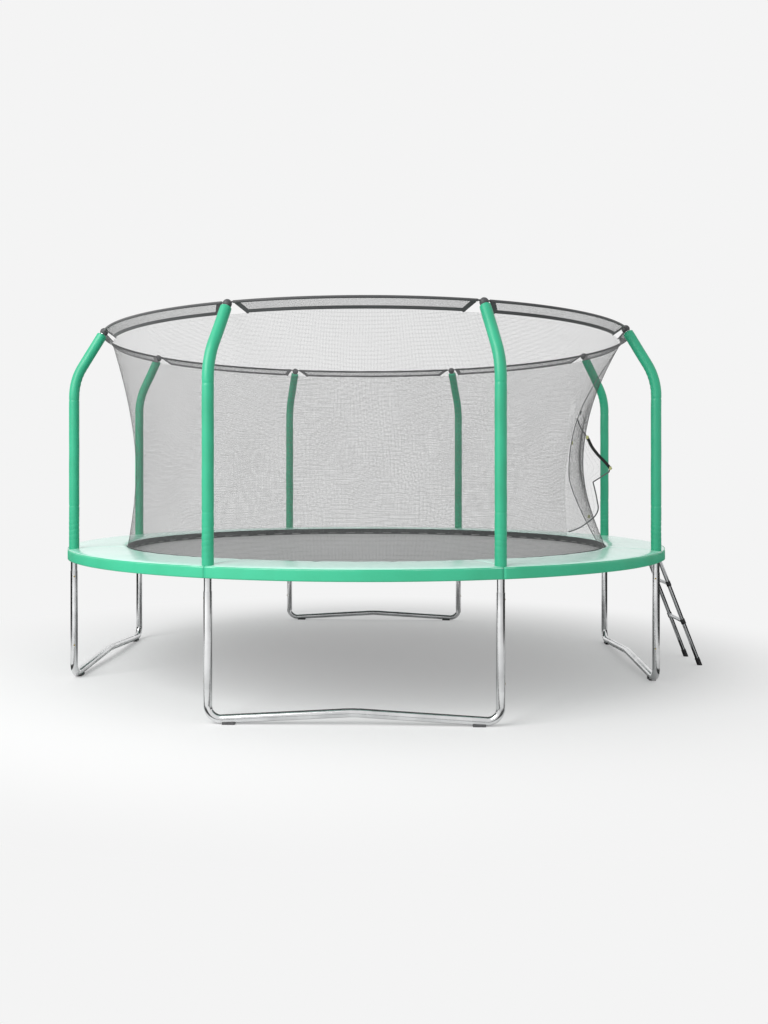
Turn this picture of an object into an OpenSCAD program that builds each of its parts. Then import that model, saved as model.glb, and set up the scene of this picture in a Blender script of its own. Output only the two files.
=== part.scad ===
// Backyard trampoline with a net enclosure.
// Four U legs carry a round steel rail, a mat on springs, a padded spring cover, eight bent poles in
// foam sleeves, a zipped net that hangs from a ring of rod, and a ladder hooked on the rail.
// Millimetres. Origin at the centre of the mat's top face, +Z up, ladder and door towards +X.

/* [Frame] */
// Radius of the circle that the rail, the legs and the poles stand on
frame_r = 2110; // [1900:10:2500]
// Outer diameter of the rail and leg tubes
tube_d = 48; // [44:1:52]
// Wall of the rail and leg tubes
tube_wall = 1.8; // [1.4:0.1:2.4]
// Wall of the sockets that join the rail's arcs
socket_wall = 2.8; // [2:0.1:3.4]
// Half length of a socket along the rail
socket_reach = 68; // [60:1:70]
// Length of a tube end that plugs into the next tube
plug_len = 75; // [50:1:100]

/* [Legs] */
// Height of the mat's top face above the ground
mat_h = 835; // [800:5:900]
// Height of the joint between a socket's stub and its leg tube
leg_joint_h = 733; // [700:1:750]
// Height of the joint between a leg tube and its U base
base_joint_h = 194; // [170:1:260]
// Bend radius of the U base's corners, to the middle of the tube
leg_bend_r = 75; // [60:1:100]
// Slope of the U base up to its middle, in degrees
leg_slope = 3.3; // [1:0.1:5]
// Bend radius at the middle of the U base
leg_mid_r = 600; // [300:10:1200]
// Thickness of a foot pad under the tube
foot_t = 4; // [2:0.5:8]
// Length of a foot pad along the base
foot_l = 70; // [50:1:90]
// Width of a foot pad across the base
foot_w = 42; // [34:1:50]
// Diameter of a screw's shank
screw_d = 5; // [4:0.5:6]
// Diameter of a screw's head
screw_head_d = 11; // [9:0.5:14]

/* [Mat and springs] */
// Distance from the rail's middle to the mat's edge
spring_gap = 245; // [220:1:280]
// Thickness of the mat
mat_t = 2; // [1.5:0.5:4]
// Width of the folded webbing sewn round the mat's edge
mat_edge_w = 127; // [124:1:160]
// Height of that webbing above the mat
mat_edge_t = 2; // [1:0.5:3]
// Springs on each arc of the rail
springs_per_arc = 11; // [8:1:12]
// Outer diameter of a spring
spring_d = 23; // [18:1:26]
// Wire of a spring, and of a ring on the mat's edge
spring_wire = 4; // [3:0.5:4.5]
// Straight hook at each end of a spring
spring_hook = 28; // [24:1:36]
// Length of a triangular ring outside the mat's edge
v_ring_len = 32; // [28:1:40]
// Width of a triangular ring along the mat's edge
v_ring_w = 46; // [36:1:54]

/* [Spring cover] */
// Width of the cover from its inner to its outer edge
pad_w = 400; // [380:5:420]
// How far the cover stands out past the rail's middle
pad_overhang = 39; // [36:1:60]
// Thickness of the cover at its outer edge
pad_t = 16; // [12:1:30]
// Thickness of the cover at its inner edge
pad_in_t = 24; // [18:1:40]
// Crown of the cover's top between its edges
pad_crown = 5; // [2:0.5:10]
// Height of the outer face, with the skirt that hangs below it
skirt_h = 68; // [60:1:70]
// Thickness of the skirt's cloth
skirt_t = 2; // [1:0.5:3]

/* [Poles] */
// Outer diameter of a pole
pole_d = 38; // [32:1:42]
// Wall of a pole
pole_wall = 1.5; // [1.2:0.1:2.2]
// Height of a pole's cap above the ground
pole_h = 2358; // [2200:1:2500]
// How far a cap stands inside the rail's circle
cap_inset = 197; // [170:1:230]
// Inward tilt of a pole's upper part, in degrees
pole_tilt = 30; // [26:1:34]
// Bend radius of a pole
pole_bend_r = 420; // [300:10:480]
// Outer diameter of a foam sleeve
sleeve_d = 69; // [60:1:74]
// Diameter of a pole's ball cap
cap_d = 54; // [50:1:64]

/* [Ring and top band] */
// Diameter of the fibreglass rod that rings the net's top
rod_d = 10; // [7:0.5:12]
// Height of the rod above the middle of the caps
rod_rise = 9; // [7:0.5:10]
// Width of the sloped band under the rod
band_w = 84; // [60:1:110]
// Slope of the band below level, in degrees
band_slant = 41.6; // [30:0.1:55]
// Thickness of the band
band_t = 3; // [2:0.5:4]
// Outer diameter of the band's sleeve round the rod
band_sleeve_d = 17; // [16:0.5:22]
// Width of the webbing along the band's lower edge
webbing_w = 14; // [10:1:20]
// Thickness of that webbing
webbing_t = 5; // [4:0.5:6]
// Gap between a pole and the band's upper edge
band_top_gap = 40; // [38:1:60]
// Gap between a pole and the band's lower edge
band_low_gap = 97; // [70:1:130]

/* [Net] */
// Thickness of the net
net_t = 2; // [1.5:0.5:3]
// How far the net's waist stands inside the rail's circle
waist_inset = 422; // [400:1:450]
// Height of the waist above the ground
waist_h = 1420; // [1350:5:1500]
// How sharply the net draws in towards its waist
waist_power = 1.7; // [1.4:0.1:2.2]
// Height of the hem above the mat
hem_h = 48; // [40:1:60]
// Thickness of the hem
hem_t = 4; // [3:0.5:5]
// Gap between the hem and the cover's inner edge
hem_gap = 4; // [3:0.5:8]

/* [Door] */
// Gap between the zip's furthest point and the seam behind the door
zip_seam_gap = 124; // [110:1:150]
// Height of the zip's furthest point
zip_mid_h = 1380; // [1300:5:1450]
// How far the zip comes forward at the net's top
zip_top_span = 690; // [500:5:760]
// How far the zip comes forward at the net's bottom
zip_low_span = 420; // [250:5:480]
// Width of the zip's tape
zip_w = 24; // [18:1:30]
// Thickness of the zip's tape
zip_t = 1.5; // [1:0.5:2]
// Height at which the zip stands open
door_top_h = 1850; // [1780:5:1900]
// Height of the flap's lower end
door_low_h = 905; // [900:1:940]
// Gap between the flap's lower end and the seam behind it
flap_seam_gap = 15; // [12:1:40]
// How far the flap's fold stands off the net
flap_off = 6; // [5:0.5:12]
// Gap between the fold's upper end and the zip's tape
fold_clear = 26; // [24:1:40]
// Diameter of the cord sewn into the fold, on which the flap turns
fold_cord_d = 4.6; // [4:0.1:5]
// Width of the strap on the flap's edge
strap_w = 14; // [10:1:20]
// Thickness of the strap
strap_t = 6; // [4:0.5:8]

/* [Ladder] */
// Distance between the middles of the ladder's tubes
ladder_gap = 338; // [300:1:400]
// Diameter of the ladder's tubes
ladder_d = 28; // [25:1:32]
// Wall of the ladder's tubes
ladder_wall = 1.5; // [1.2:0.1:2]
// Lean of the ladder, in degrees
ladder_lean = 20.9; // [16:0.1:24]
// Height of the lower step
step_low_h = 316; // [250:1:360]
// Height of the upper step
step_high_h = 590; // [520:1:640]
// Diameter of a step's tube
step_d = 26; // [20:1:27]
// Thickness of the hooks that hold the ladder on the rail
hook_t = 2.5; // [2:0.1:2.8]
// Width of the hooks
hook_w = 14; // [10:1:18]
// Wall of the feet and clips on the ladder
ladder_cap_wall = 3; // [2:0.5:5]

/* [Hidden] */
// Clearances: a sliding fit, a face against a face, and the overshoot of a cut
fit_gap = 0.2;
seat_gap = 0.4;
cut_over = 1;
// A sloped straight laps into its bends, and is a little thicker, so that their surfaces cross cleanly
lap = 1;
lap_d = 0.1;
base_lap_d = 1.2;
ring_fn = 256;
$fn = 72;

pole_n = 8;
pole_step = 360 / pole_n;
half_step = pole_step / 2;
leg_names = ["right", "back", "left", "front"];

floor_z = -mat_h;
rail_z = -mat_t / 2;
socket_d = tube_d + 2 * fit_gap + 2 * socket_wall;
stub_d = tube_d - 2 * tube_wall - 2 * fit_gap;
spigot_d = pole_d - 2 * pole_wall - 2 * fit_gap;
spigot_len = 120;
rail_end_gap = 10;
leg_joint_z = floor_z + leg_joint_h;
base_joint_z = floor_z + base_joint_h;
leg_x = frame_r * cos(half_step);
leg_y = frame_r * sin(half_step);
base_low_z = floor_z + foot_t + tube_d / 2;
base_bend = [leg_y - leg_bend_r, base_low_z + leg_bend_r];
slope_from = base_bend - leg_bend_r * [sin(leg_slope), cos(leg_slope)];
slope_run = slope_from.x - leg_mid_r * sin(leg_slope);
base_peak_z = slope_from.y + slope_run * tan(leg_slope) + leg_mid_r * (1 - cos(leg_slope));

mat_r = frame_r - spring_gap;
spring_step = pole_step / springs_per_arc;
hook_hole_d = spring_wire + 1.2;

pad_out = frame_r + pad_overhang;
pad_in = pad_out - pad_w;
hook_in_r = tube_d / 2 + 0.8;
pad_z = rail_z + max(socket_d / 2, hook_in_r + hook_t) + seat_gap;
pad_top_out = pad_z + pad_t;
pad_top_in = pad_z + pad_in_t;
skirt_z = pad_top_out - skirt_h;

ring_r = frame_r - cap_inset;
cap_z = floor_z + pole_h;
ring_z = cap_z + rod_rise;
bend_tangent = pole_bend_r * tan(pole_tilt / 2);
bend_z = cap_z - cap_inset / tan(pole_tilt) - bend_tangent;
tip_len = cap_inset / sin(pole_tilt) - bend_tangent;
bend_end = [frame_r - pole_bend_r * (1 - cos(pole_tilt)), bend_z + pole_bend_r * sin(pole_tilt)];
cap_seat = 6;
sleeve_tip_gap = cap_d / 2 + 1;

hem_r = pad_in - hem_gap - hem_t / 2;
net_low_z = hem_h + seat_gap;
net_top_r = ring_r - band_w * cos(band_slant);
net_top_z = ring_z - band_w * sin(band_slant) - webbing_t / 2 * cos(band_slant) - seat_gap;
waist_r = frame_r - waist_inset;
waist_z = floor_z + waist_h;
net_steps = 12;
seam_a = 0.012;

zip_mid_z = floor_z + zip_mid_h;
zip_far_y = waist_r * sin(half_step) - zip_seam_gap;
zip_top_power = 3.7;
zip_low_power = 1.6;
zip_steps = 20;
tape_off = net_t / 2 + fit_gap;
door_top_z = floor_z + door_top_h;
door_low_z = floor_z + door_low_h;
// The flap's free edge: distance from the fold, distance up the fold
flap_outline = [
    [3, 12], [57, 34], [157, 104], [209, 156], [229, 207], [215, 288], [171, 434],
    [292, 522], [298, 555], [94, 796], [50, 851], [12, 925], [3, 945]
];
strap_from = [94, 796];
strap_to = [298, 555];
slider_h = door_top_h + 30;
edge_clip_h = 1640;

ladder_y = ladder_gap / 2;
ladder_x = sqrt(pow(frame_r, 2) - pow(ladder_y, 2));
hook_mid_r = hook_in_r + hook_t / 2;
hook_from = -70;
hook_sweep = 230;
ladder_tube_x = hook_mid_r * cos(hook_from);
ladder_top = -70;
ladder_foot = (floor_z - rail_z - ladder_tube_x * sin(ladder_lean)) / cos(ladder_lean);

rail_arc_names = [for (k = [1 : pole_n]) str("rail_arc_", k)];
leg_tube_names = [for (k = [1 : pole_n]) str("leg_tube_", k)];
leg_base_names = [for (name = leg_names) str("leg_base_", name)];
sleeve_names = [for (k = [1 : pole_n]) str("pole_sleeve_", k)];
net_names = [for (k = [1 : pole_n - 1]) str("net_panel_", k)];

function pole_angle(k) = pole_step * (k - 0.5);
function blend(a, b, t) = a + (b - a) * t;

// Radius of the net at a height: least at the waist, growing by a power of the distance from it
function net_r(z) = z >= waist_z
    ? blend(waist_r, net_top_r, pow((z - waist_z) / (net_top_z - waist_z), waist_power))
    : blend(waist_r, hem_r, pow((waist_z - z) / (waist_z - net_low_z), waist_power));

// Distance of the zip from the middle of the door at a height: a C with its far point at zip_mid_z
function zip_y(z) = z >= zip_mid_z
    ? zip_far_y - zip_top_span * pow((z - zip_mid_z) / (net_top_z - zip_mid_z), zip_top_power)
    : zip_far_y - zip_low_span * pow((zip_mid_z - z) / (zip_mid_z - net_low_z), zip_low_power);

function net_heights(steps) = [for (i = [0 : steps]) blend(net_low_z, net_top_z, i / steps)];

// A point at a height on the net, pushed out by a distance, at a given offset along Y
function on_net(y, z, out) = [sqrt(pow(net_r(z) + out, 2) - y * y), y, z];

flap_foot = on_net(net_r(door_low_z) * sin(half_step) - flap_seam_gap, door_low_z, flap_off);
flap_head = on_net(zip_y(door_top_z) + zip_w / 2 + fold_clear, door_top_z, flap_off);
fold_dir = (flap_head - flap_foot) / norm(flap_head - flap_foot);
flap_out = [1, 0, 0] - fold_dir.x * fold_dir;
flap_dir = flap_out / norm(flap_out);
flap_normal = cross(flap_dir, fold_dir);

module at_pole(k) {
    rotate([0, 0, pole_angle(k)]) children();
}

// Stands a shape drawn in X and Y up in the vertical plane through X
module in_radial_plane() {
    rotate([90, 0, 0]) children();
}

// Stands a shape drawn in X and Y up in the vertical plane through Y, facing +X
module in_leg_plane() {
    rotate([90, 0, 90]) children();
}

// Carries a profile of radius and height round the Z axis
module ring_arc(from, to) {
    rotate_extrude(angle = to - from, start = from, $fn = ring_fn) children();
}

module pipe(d, bore, h) {
    difference() {
        cylinder(d = d, h = h);
        translate([0, 0, -cut_over]) cylinder(d = bore, h = h + 2 * cut_over);
    }
}

module rail_arc(k) {
    gap_a = asin(rail_end_gap / frame_r);
    from = pole_angle(k) + gap_a;
    to = pole_angle(k + 1) - gap_a;
    color("silver") translate([0, 0, rail_z]) difference() {
        ring_arc(from, to) translate([frame_r, 0]) difference() {
            circle(d = tube_d);
            circle(d = tube_d - 2 * tube_wall);
        }
        for (i = [0 : springs_per_arc - 1])
            rotate([0, 0, pole_angle(k) + spring_step * (i + 0.5)])
                translate([frame_r - tube_d, 0, 0])
                    rotate([0, 90, 0]) cylinder(d = hook_hole_d, h = tube_d);
    }
}

// Cross drilling for the two screws of a leg, in the frame of its pole
module screw_holes(d, k) {
    for (z = [leg_joint_z - plug_len / 2, base_joint_z + plug_len / 2])
        translate([frame_r, 0, z])
            rotate([-90 * screw_side(k), 0, 0]) cylinder(d = d, h = tube_d);
}

// Screws face away from the middle of their own U leg
function screw_side(k) = k % 2 == 1 ? 1 : -1;

module rail_socket(k) {
    reach_a = asin(socket_reach / frame_r);
    a = pole_angle(k);
    difference() {
        union() {
            translate([0, 0, rail_z]) ring_arc(a - reach_a, a + reach_a)
                translate([frame_r, 0]) circle(d = socket_d);
            at_pole(k) translate([frame_r, 0, leg_joint_z - plug_len])
                cylinder(d = stub_d, h = rail_z - leg_joint_z + plug_len);
            at_pole(k) translate([frame_r, 0, rail_z])
                pipe(spigot_d, spigot_d - 2 * tube_wall, socket_d / 2 + spigot_len);
        }
        translate([0, 0, rail_z]) ring_arc(a - reach_a - 1, a + reach_a + 1)
            translate([frame_r, 0]) circle(d = tube_d + 2 * fit_gap);
        at_pole(k) translate([frame_r, 0, leg_joint_z - plug_len - cut_over])
            cylinder(d = stub_d - 2 * tube_wall, h = rail_z - leg_joint_z + plug_len + cut_over);
        at_pole(k) screw_holes(screw_d + 2 * fit_gap, k);
    }
}

module rail_sockets() {
    color("silver") for (k = [1 : pole_n]) rail_socket(k);
}

module leg_tube(k) {
    color("silver") at_pole(k) difference() {
        translate([frame_r, 0, base_joint_z])
            pipe(tube_d, tube_d - 2 * tube_wall, leg_joint_z - base_joint_z);
        screw_holes(screw_d + 2 * fit_gap, k);
    }
}

// One sloped half of the U base's ground tube, drawn in the leg's plane
module base_slope(d) {
    translate([slope_from.x, slope_from.y, 0]) rotate([0, 0, 180 - leg_slope]) rotate([0, 90, 0])
        translate([0, 0, -lap]) cylinder(d = d + base_lap_d, h = slope_run / cos(leg_slope) + 2 * lap);
}

// The U base's tube below its joints: uprights, corner bends, two slopes and the bend between them
module base_path(d, top_gap) {
    translate([leg_x, 0, 0]) in_leg_plane() {
        for (side = [0, 1]) mirror([side, 0, 0]) {
            translate([leg_y, base_bend.y, 0]) rotate([-90, 0, 0])
                cylinder(d = d, h = base_joint_z - base_bend.y - top_gap);
            translate([base_bend.x, base_bend.y, 0])
                rotate_extrude(angle = 90 + leg_slope, start = -90 - leg_slope)
                    translate([leg_bend_r, 0]) circle(d = d);
            base_slope(d);
        }
        translate([0, base_peak_z - leg_mid_r, 0])
            rotate_extrude(angle = 2 * leg_slope, start = 90 - leg_slope, $fn = ring_fn)
                translate([leg_mid_r, 0]) circle(d = d);
    }
}

// The narrowed upper ends that plug into the leg tubes
module base_plugs(d, over) {
    for (side = [-1, 1]) translate([leg_x, side * leg_y, base_joint_z - over])
        cylinder(d = d, h = plug_len + 2 * over);
}

// A bent tube whose upper ends are narrowed, with a shoulder at the foot of each plug
module leg_base(j) {
    shoulder = 8;
    color("silver") rotate([0, 0, 90 * j]) difference() {
        union() {
            base_path(tube_d, 0);
            base_plugs(stub_d, 0);
        }
        base_path(tube_d - 2 * tube_wall, shoulder);
        base_plugs(stub_d - 2 * tube_wall, 2 * shoulder);
        for (k = [0, 1]) rotate([0, 0, pole_angle(k)])
            screw_holes(screw_d + 2 * fit_gap, k);
    }
}

module foot_pads() {
    color("dimgray") for (j = [0 : 3]) rotate([0, 0, 90 * j]) translate([leg_x, 0, 0]) in_leg_plane()
        for (side = [0, 1]) mirror([side, 0, 0]) difference() {
            translate([slope_from.x - foot_l - 3 * lap, floor_z, -foot_w / 2])
                cube([foot_l, foot_t + tube_d / 4, foot_w]);
            base_slope(tube_d + 2 * fit_gap);
        }
}

module leg_screws() {
    head_h = 4;
    shank = tube_wall * 2 + 10;
    color("gold") for (k = [1 : pole_n]) at_pole(k)
        for (z = [leg_joint_z - plug_len / 2, base_joint_z + plug_len / 2])
            translate([frame_r, screw_side(k) * (tube_d / 2 + fit_gap), z])
                rotate([-90 * screw_side(k), 0, 0]) {
                    cylinder(d1 = screw_head_d, d2 = screw_head_d * 0.7, h = head_h);
                    translate([0, 0, -shank]) cylinder(d = screw_d, h = shank);
                }
}

// A pole's bent line as a rod: upright, bend and tilted tip, in the frame of its pole
module pole_path(d, low_z, tip_gap) {
    in_radial_plane() {
        translate([frame_r, low_z, 0]) rotate([-90, 0, 0]) cylinder(d = d, h = bend_z - low_z);
        translate([frame_r - pole_bend_r, bend_z, 0]) rotate_extrude(angle = pole_tilt)
            translate([pole_bend_r, 0]) circle(d = d);
        translate([bend_end.x, bend_end.y, 0]) rotate([0, 0, 90 + pole_tilt]) rotate([0, 90, 0])
            translate([0, 0, -lap]) cylinder(d = d + lap_d, h = tip_len - tip_gap + lap);
    }
}

module pole_pipe(d, bore, low_z, tip_gap) {
    difference() {
        pole_path(d, low_z, tip_gap);
        pole_path(bore, low_z - cut_over, tip_gap - cut_over);
    }
}

module poles() {
    color("silver") for (k = [1 : pole_n]) at_pole(k)
        pole_pipe(pole_d, pole_d - 2 * pole_wall, rail_z + socket_d / 2 + seat_gap, cap_seat);
}

module pole_sleeve(k) {
    color("mediumseagreen") at_pole(k)
        pole_pipe(sleeve_d, pole_d + 2 * fit_gap, pad_top_out + seat_gap, sleeve_tip_gap);
}

module pole_caps() {
    color("dimgray") for (k = [1 : pole_n]) difference() {
        at_pole(k) translate([ring_r, 0, cap_z]) sphere(d = cap_d);
        at_pole(k) in_radial_plane() translate([ring_r, cap_z, 0]) rotate([0, 0, 90 + pole_tilt])
            rotate([0, 90, 0]) translate([0, 0, -cap_d])
                cylinder(d = pole_d + 2 * fit_gap, h = cap_d - cap_seat + fit_gap);
        translate([0, 0, ring_z]) ring_arc(pole_angle(k) - 2, pole_angle(k) + 2)
            translate([ring_r, 0]) circle(d = rod_d + 2 * fit_gap);
    }
}

module top_ring() {
    color("darkslategray") translate([0, 0, ring_z])
        rotate_extrude($fn = ring_fn) translate([ring_r, 0]) circle(d = rod_d);
}

// Section of the band: a sleeve round the rod, the sloped band, and webbing along its lower edge
module band_section() {
    difference() {
        union() {
            circle(d = band_sleeve_d);
            rotate(180 + band_slant) translate([0, -band_t / 2]) square([band_w, band_t]);
            rotate(180 + band_slant) translate([band_w - webbing_w, -webbing_t / 2])
                square([webbing_w, webbing_t]);
        }
        circle(d = rod_d + 4 * fit_gap);
    }
}

// Wedge beside a pole that leaves the band's upper edge longer than its lower one
module band_notch() {
    over = 40;
    per_mm = (band_low_gap - band_top_gap) / band_w;
    translate([ring_r, 0, ring_z]) rotate([0, 180 - band_slant, 0])
        linear_extrude(height = 2 * over, center = true) polygon([
            [-over, -over], [band_w + over, -over],
            [band_w + over, band_low_gap + over * per_mm], [-over, band_top_gap - over * per_mm]
        ]);
}

module top_bands() {
    color("dimgray") for (k = [1 : pole_n]) difference() {
        translate([0, 0, ring_z]) ring_arc(pole_angle(k), pole_angle(k + 1))
            translate([ring_r, 0]) band_section();
        at_pole(k) band_notch();
        at_pole(k + 1) mirror([0, 1, 0]) band_notch();
    }
}

// A wall along the net's curve between two angles, from one offset of its surface to another
module net_wall(from, to, low, high) {
    zs = net_heights(net_steps);
    outer = [for (z = zs) [net_r(z) + high, z]];
    inner = [for (i = [net_steps : -1 : 0]) [net_r(zs[i]) + low, zs[i]]];
    ring_arc(from, to) polygon(concat(outer, inner));
}

module net_panel(k) {
    color("gainsboro", 0.5)
        net_wall(pole_angle(k) + seam_a, pole_angle(k + 1) - seam_a, -net_t / 2, net_t / 2);
}

// Extrudes an outline drawn in Y and Z through the door's side of the net
module door_prism(outline) {
    in_leg_plane() linear_extrude(height = 2 * frame_r) polygon(outline);
}

module door_wall(low, high) {
    net_wall(-half_step + seam_a, half_step - seam_a, low, high);
}

module door_panel() {
    edge = [for (z = net_heights(zip_steps)) [zip_y(z) - fit_gap, z]];
    color("gainsboro", 0.5) intersection() {
        door_wall(-net_t / 2, net_t / 2);
        door_prism(concat(
            [[-frame_r, net_low_z - cut_over], [edge[0].x, net_low_z - cut_over]], edge,
            [[edge[zip_steps].x, net_top_z + cut_over], [-frame_r, net_top_z + cut_over]]
        ));
    }
}

// The side panel's cloth between the net and the flap's fold, flat in the flap's plane, and the fold's cord
module fold_strip() {
    cord_over = 3;
    edge = [for (i = [0 : net_steps]) let (
        at = blend(flap_foot, flap_head, i / net_steps),
        from_foot = on_net(at.y, at.z, 0) - flap_foot
    ) [from_foot * flap_dir, from_foot * fold_dir]];
    on_flap() {
        linear_extrude(height = net_t, center = true)
            polygon(concat(edge, [[0, edge[net_steps].y], [0, edge[0].y]]));
        translate([0, -cord_over, 0]) rotate([-90, 0, 0])
            cylinder(d = fold_cord_d, h = norm(flap_head - flap_foot) + 2 * cord_over);
    }
}

module door_side_panel() {
    closed = [for (i = [0 : zip_steps]) blend(door_top_z, net_top_z, i / zip_steps)];
    edge = [for (z = closed) [zip_y(z) + fit_gap, z]];
    color("gainsboro", 0.5) {
        intersection() {
            door_wall(-net_t / 2, net_t / 2);
            door_prism(concat(
                [[frame_r, net_low_z - cut_over], [flap_foot.y, net_low_z - cut_over]],
                [[flap_foot.y, door_low_z], [flap_head.y, door_top_z]],
                edge, [[edge[zip_steps].x, net_top_z + cut_over], [frame_r, net_top_z + cut_over]]
            ));
        }
        fold_strip();
    }
}

module zip_tape() {
    zs = net_heights(zip_steps);
    color("black") intersection() {
        door_wall(tape_off, tape_off + zip_t);
        door_prism(concat(
            [for (z = zs) [zip_y(z) + zip_w / 2, z]],
            [for (i = [zip_steps : -1 : 0]) [zip_y(zs[i]) - zip_w / 2, zs[i]]]
        ));
    }
}

// Stands a block off the zip's tape at a height, with its length along the zip
module on_zip(h) {
    off = 3 * seat_gap;
    z = floor_z + h;
    y = zip_y(z);
    lean = atan(zip_y(z + 1) - y);
    flare = atan(net_r(z + 1) - net_r(z));
    turn = asin(y / net_r(z));
    translate(on_net(y, z, tape_off + zip_t + off))
        rotate([0, 0, turn]) rotate([0, flare, 0]) rotate([-lean, 0, 0]) children();
}

module zip_slider() {
    color("black") on_zip(slider_h) {
        translate([0, -6, -12]) cube([7, 12, 24]);
        translate([7, -3, -34]) cube([2, 6, 40]);
    }
}

module edge_clip() {
    color("yellowgreen") on_zip(edge_clip_h) translate([0, -8, -14]) cube([9, 16, 28]);
}

// Carries a flat shape drawn from the fold outwards (X) and up the fold (Y) to the flap's place
module on_flap() {
    multmatrix([
        [flap_dir.x, fold_dir.x, flap_normal.x, flap_foot.x],
        [flap_dir.y, fold_dir.y, flap_normal.y, flap_foot.y],
        [flap_dir.z, fold_dir.z, flap_normal.z, flap_foot.z],
        [0, 0, 0, 1]
    ]) children();
}

module door_flap() {
    color("gainsboro", 0.5) on_flap() linear_extrude(height = net_t, center = true)
        polygon(flap_outline);
}

module flap_strap() {
    run = strap_to - strap_from;
    color("black") on_flap() translate([0, 0, net_t / 2 + fit_gap]) linear_extrude(height = strap_t) {
        translate(strap_from) rotate(atan2(run.y, run.x)) translate([0, -strap_w / 2])
            square([norm(run), strap_w]);
        for (end = [strap_from, strap_to]) translate(end) circle(d = strap_w + 2);
    }
}

module flap_clips() {
    clip = [18, 26, 8];
    strap_top = net_t / 2 + strap_t + 2 * fit_gap;
    color("yellowgreen") on_flap() {
        for (end = [strap_from, strap_to]) translate([end.x, end.y, strap_top + clip.z / 2])
            cube(clip, center = true);
        translate([160, 150, net_t / 2 + fit_gap + clip.z / 2]) cube(clip, center = true);
    }
}

module net_hem() {
    color("dimgray") rotate_extrude($fn = ring_fn)
        translate([hem_r - hem_t / 2, mat_edge_t]) square([hem_t, hem_h - mat_edge_t]);
}

// A disc with a thicker ring of folded webbing round its edge
module mat() {
    edge_r = mat_r - mat_edge_w;
    color("dimgray") rotate_extrude($fn = ring_fn) polygon([
        [0, -mat_t], [mat_r, -mat_t], [mat_r, mat_edge_t], [edge_r, mat_edge_t], [edge_r, 0], [0, 0]
    ]);
}

module at_springs() {
    for (k = [1 : pole_n]) for (i = [0 : springs_per_arc - 1])
        rotate([0, 0, pole_angle(k) + spring_step * (i + 0.5)]) translate([0, 0, rail_z]) children();
}

module v_rings() {
    from = mat_r + fit_gap;
    to = mat_r + v_ring_len;
    wire = spring_wire;
    color("silver") at_springs() linear_extrude(height = wire, center = true) difference() {
        polygon([[from, -v_ring_w / 2], [from, v_ring_w / 2], [to, wire], [to, -wire]]);
        polygon([
            [from + wire, wire * 1.6 - v_ring_w / 2], [from + wire, v_ring_w / 2 - wire * 1.6],
            [to - wire, wire * 0.6], [to - wire, -wire * 0.6]
        ]);
    }
}

// A spring: its coil as a tube, a bar across each end, a straight hook into the rail's hole,
// and a bar over the triangular ring with a peg through it
module spring() {
    wire = spring_wire;
    bar_h = spring_d - wire / 2;
    coil_to = frame_r - tube_d / 2 - spring_hook;
    coil_from = mat_r + v_ring_len + spring_hook / 2;
    rail_end = frame_r - tube_d / 2 + tube_wall + wire;
    hook_z = wire / 2 + seat_gap;
    peg_r = mat_r + v_ring_len - wire * 2.4;
    translate([coil_from, 0, 0]) rotate([0, 90, 0])
        pipe(spring_d, spring_d - wire, coil_to - coil_from);
    for (r = [coil_from + wire / 2, coil_to - wire * 1.5])
        translate([r, -wire * 0.6, -bar_h / 2]) cube([wire, wire * 1.2, bar_h]);
    translate([coil_to - wire, 0, 0]) rotate([0, 90, 0])
        cylinder(d = wire * 0.9, h = rail_end - coil_to + wire);
    translate([peg_r, -wire * 0.4, hook_z]) cube([coil_from + wire - peg_r, wire * 0.8, wire * 0.8]);
    translate([peg_r + wire * 0.2, -wire / 4, -wire / 2])
        cube([wire / 2, wire / 2, hook_z + wire]);
}

module springs() {
    color("silver") at_springs() spring();
}

// Section of the spring cover: drawn-in inner edge, crowned top, outer face and hanging skirt
module pad_section() {
    steps = 6;
    nose = 8;
    top_from = pad_in + 2 * nose;
    top_to = pad_out - nose;
    crown = [for (i = [0 : steps]) [
        blend(top_from, top_to, i / steps),
        blend(pad_top_in, pad_top_out, i / steps) + pad_crown * sin(180 * i / steps)
    ]];
    polygon(concat(
        [[pad_out - skirt_t, pad_z], [pad_in + nose, pad_z], [pad_in, pad_z + nose]],
        [[pad_in + nose / 2, pad_top_in - nose / 2]], crown,
        [[pad_out, pad_top_out - nose / 2], [pad_out, skirt_z], [pad_out - skirt_t, skirt_z]]
    ));
}

// Eight sections with a hole for each pole, and a seat pressed into the top by its sleeve
module safety_pad() {
    pole_hole_d = pole_d + 6 * seat_gap;
    sleeve_seat_d = sleeve_d + 4 * seat_gap;
    color("aquamarine") for (k = [1 : pole_n]) difference() {
        ring_arc(pole_angle(k) + seam_a, pole_angle(k + 1) - seam_a) pad_section();
        for (p = [k, k + 1]) at_pole(p) translate([frame_r, 0, skirt_z]) {
            cylinder(d = pole_hole_d, h = skirt_h + pad_crown + pad_in_t);
            translate([0, 0, skirt_h - fit_gap]) cylinder(d = sleeve_seat_d, h = pad_crown + pad_in_t);
        }
    }
}

// Carries a shape drawn round the hook's axis, with the tube hanging down, to the ladder's lean
module at_ladder() {
    translate([ladder_x, 0, rail_z]) rotate([0, -ladder_lean, 0]) children();
}

module ladder_tubes(d, side, over) {
    translate([ladder_tube_x, side * ladder_y, ladder_foot - over])
        cylinder(d = d, h = ladder_top - ladder_foot + 2 * over);
}

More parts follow.
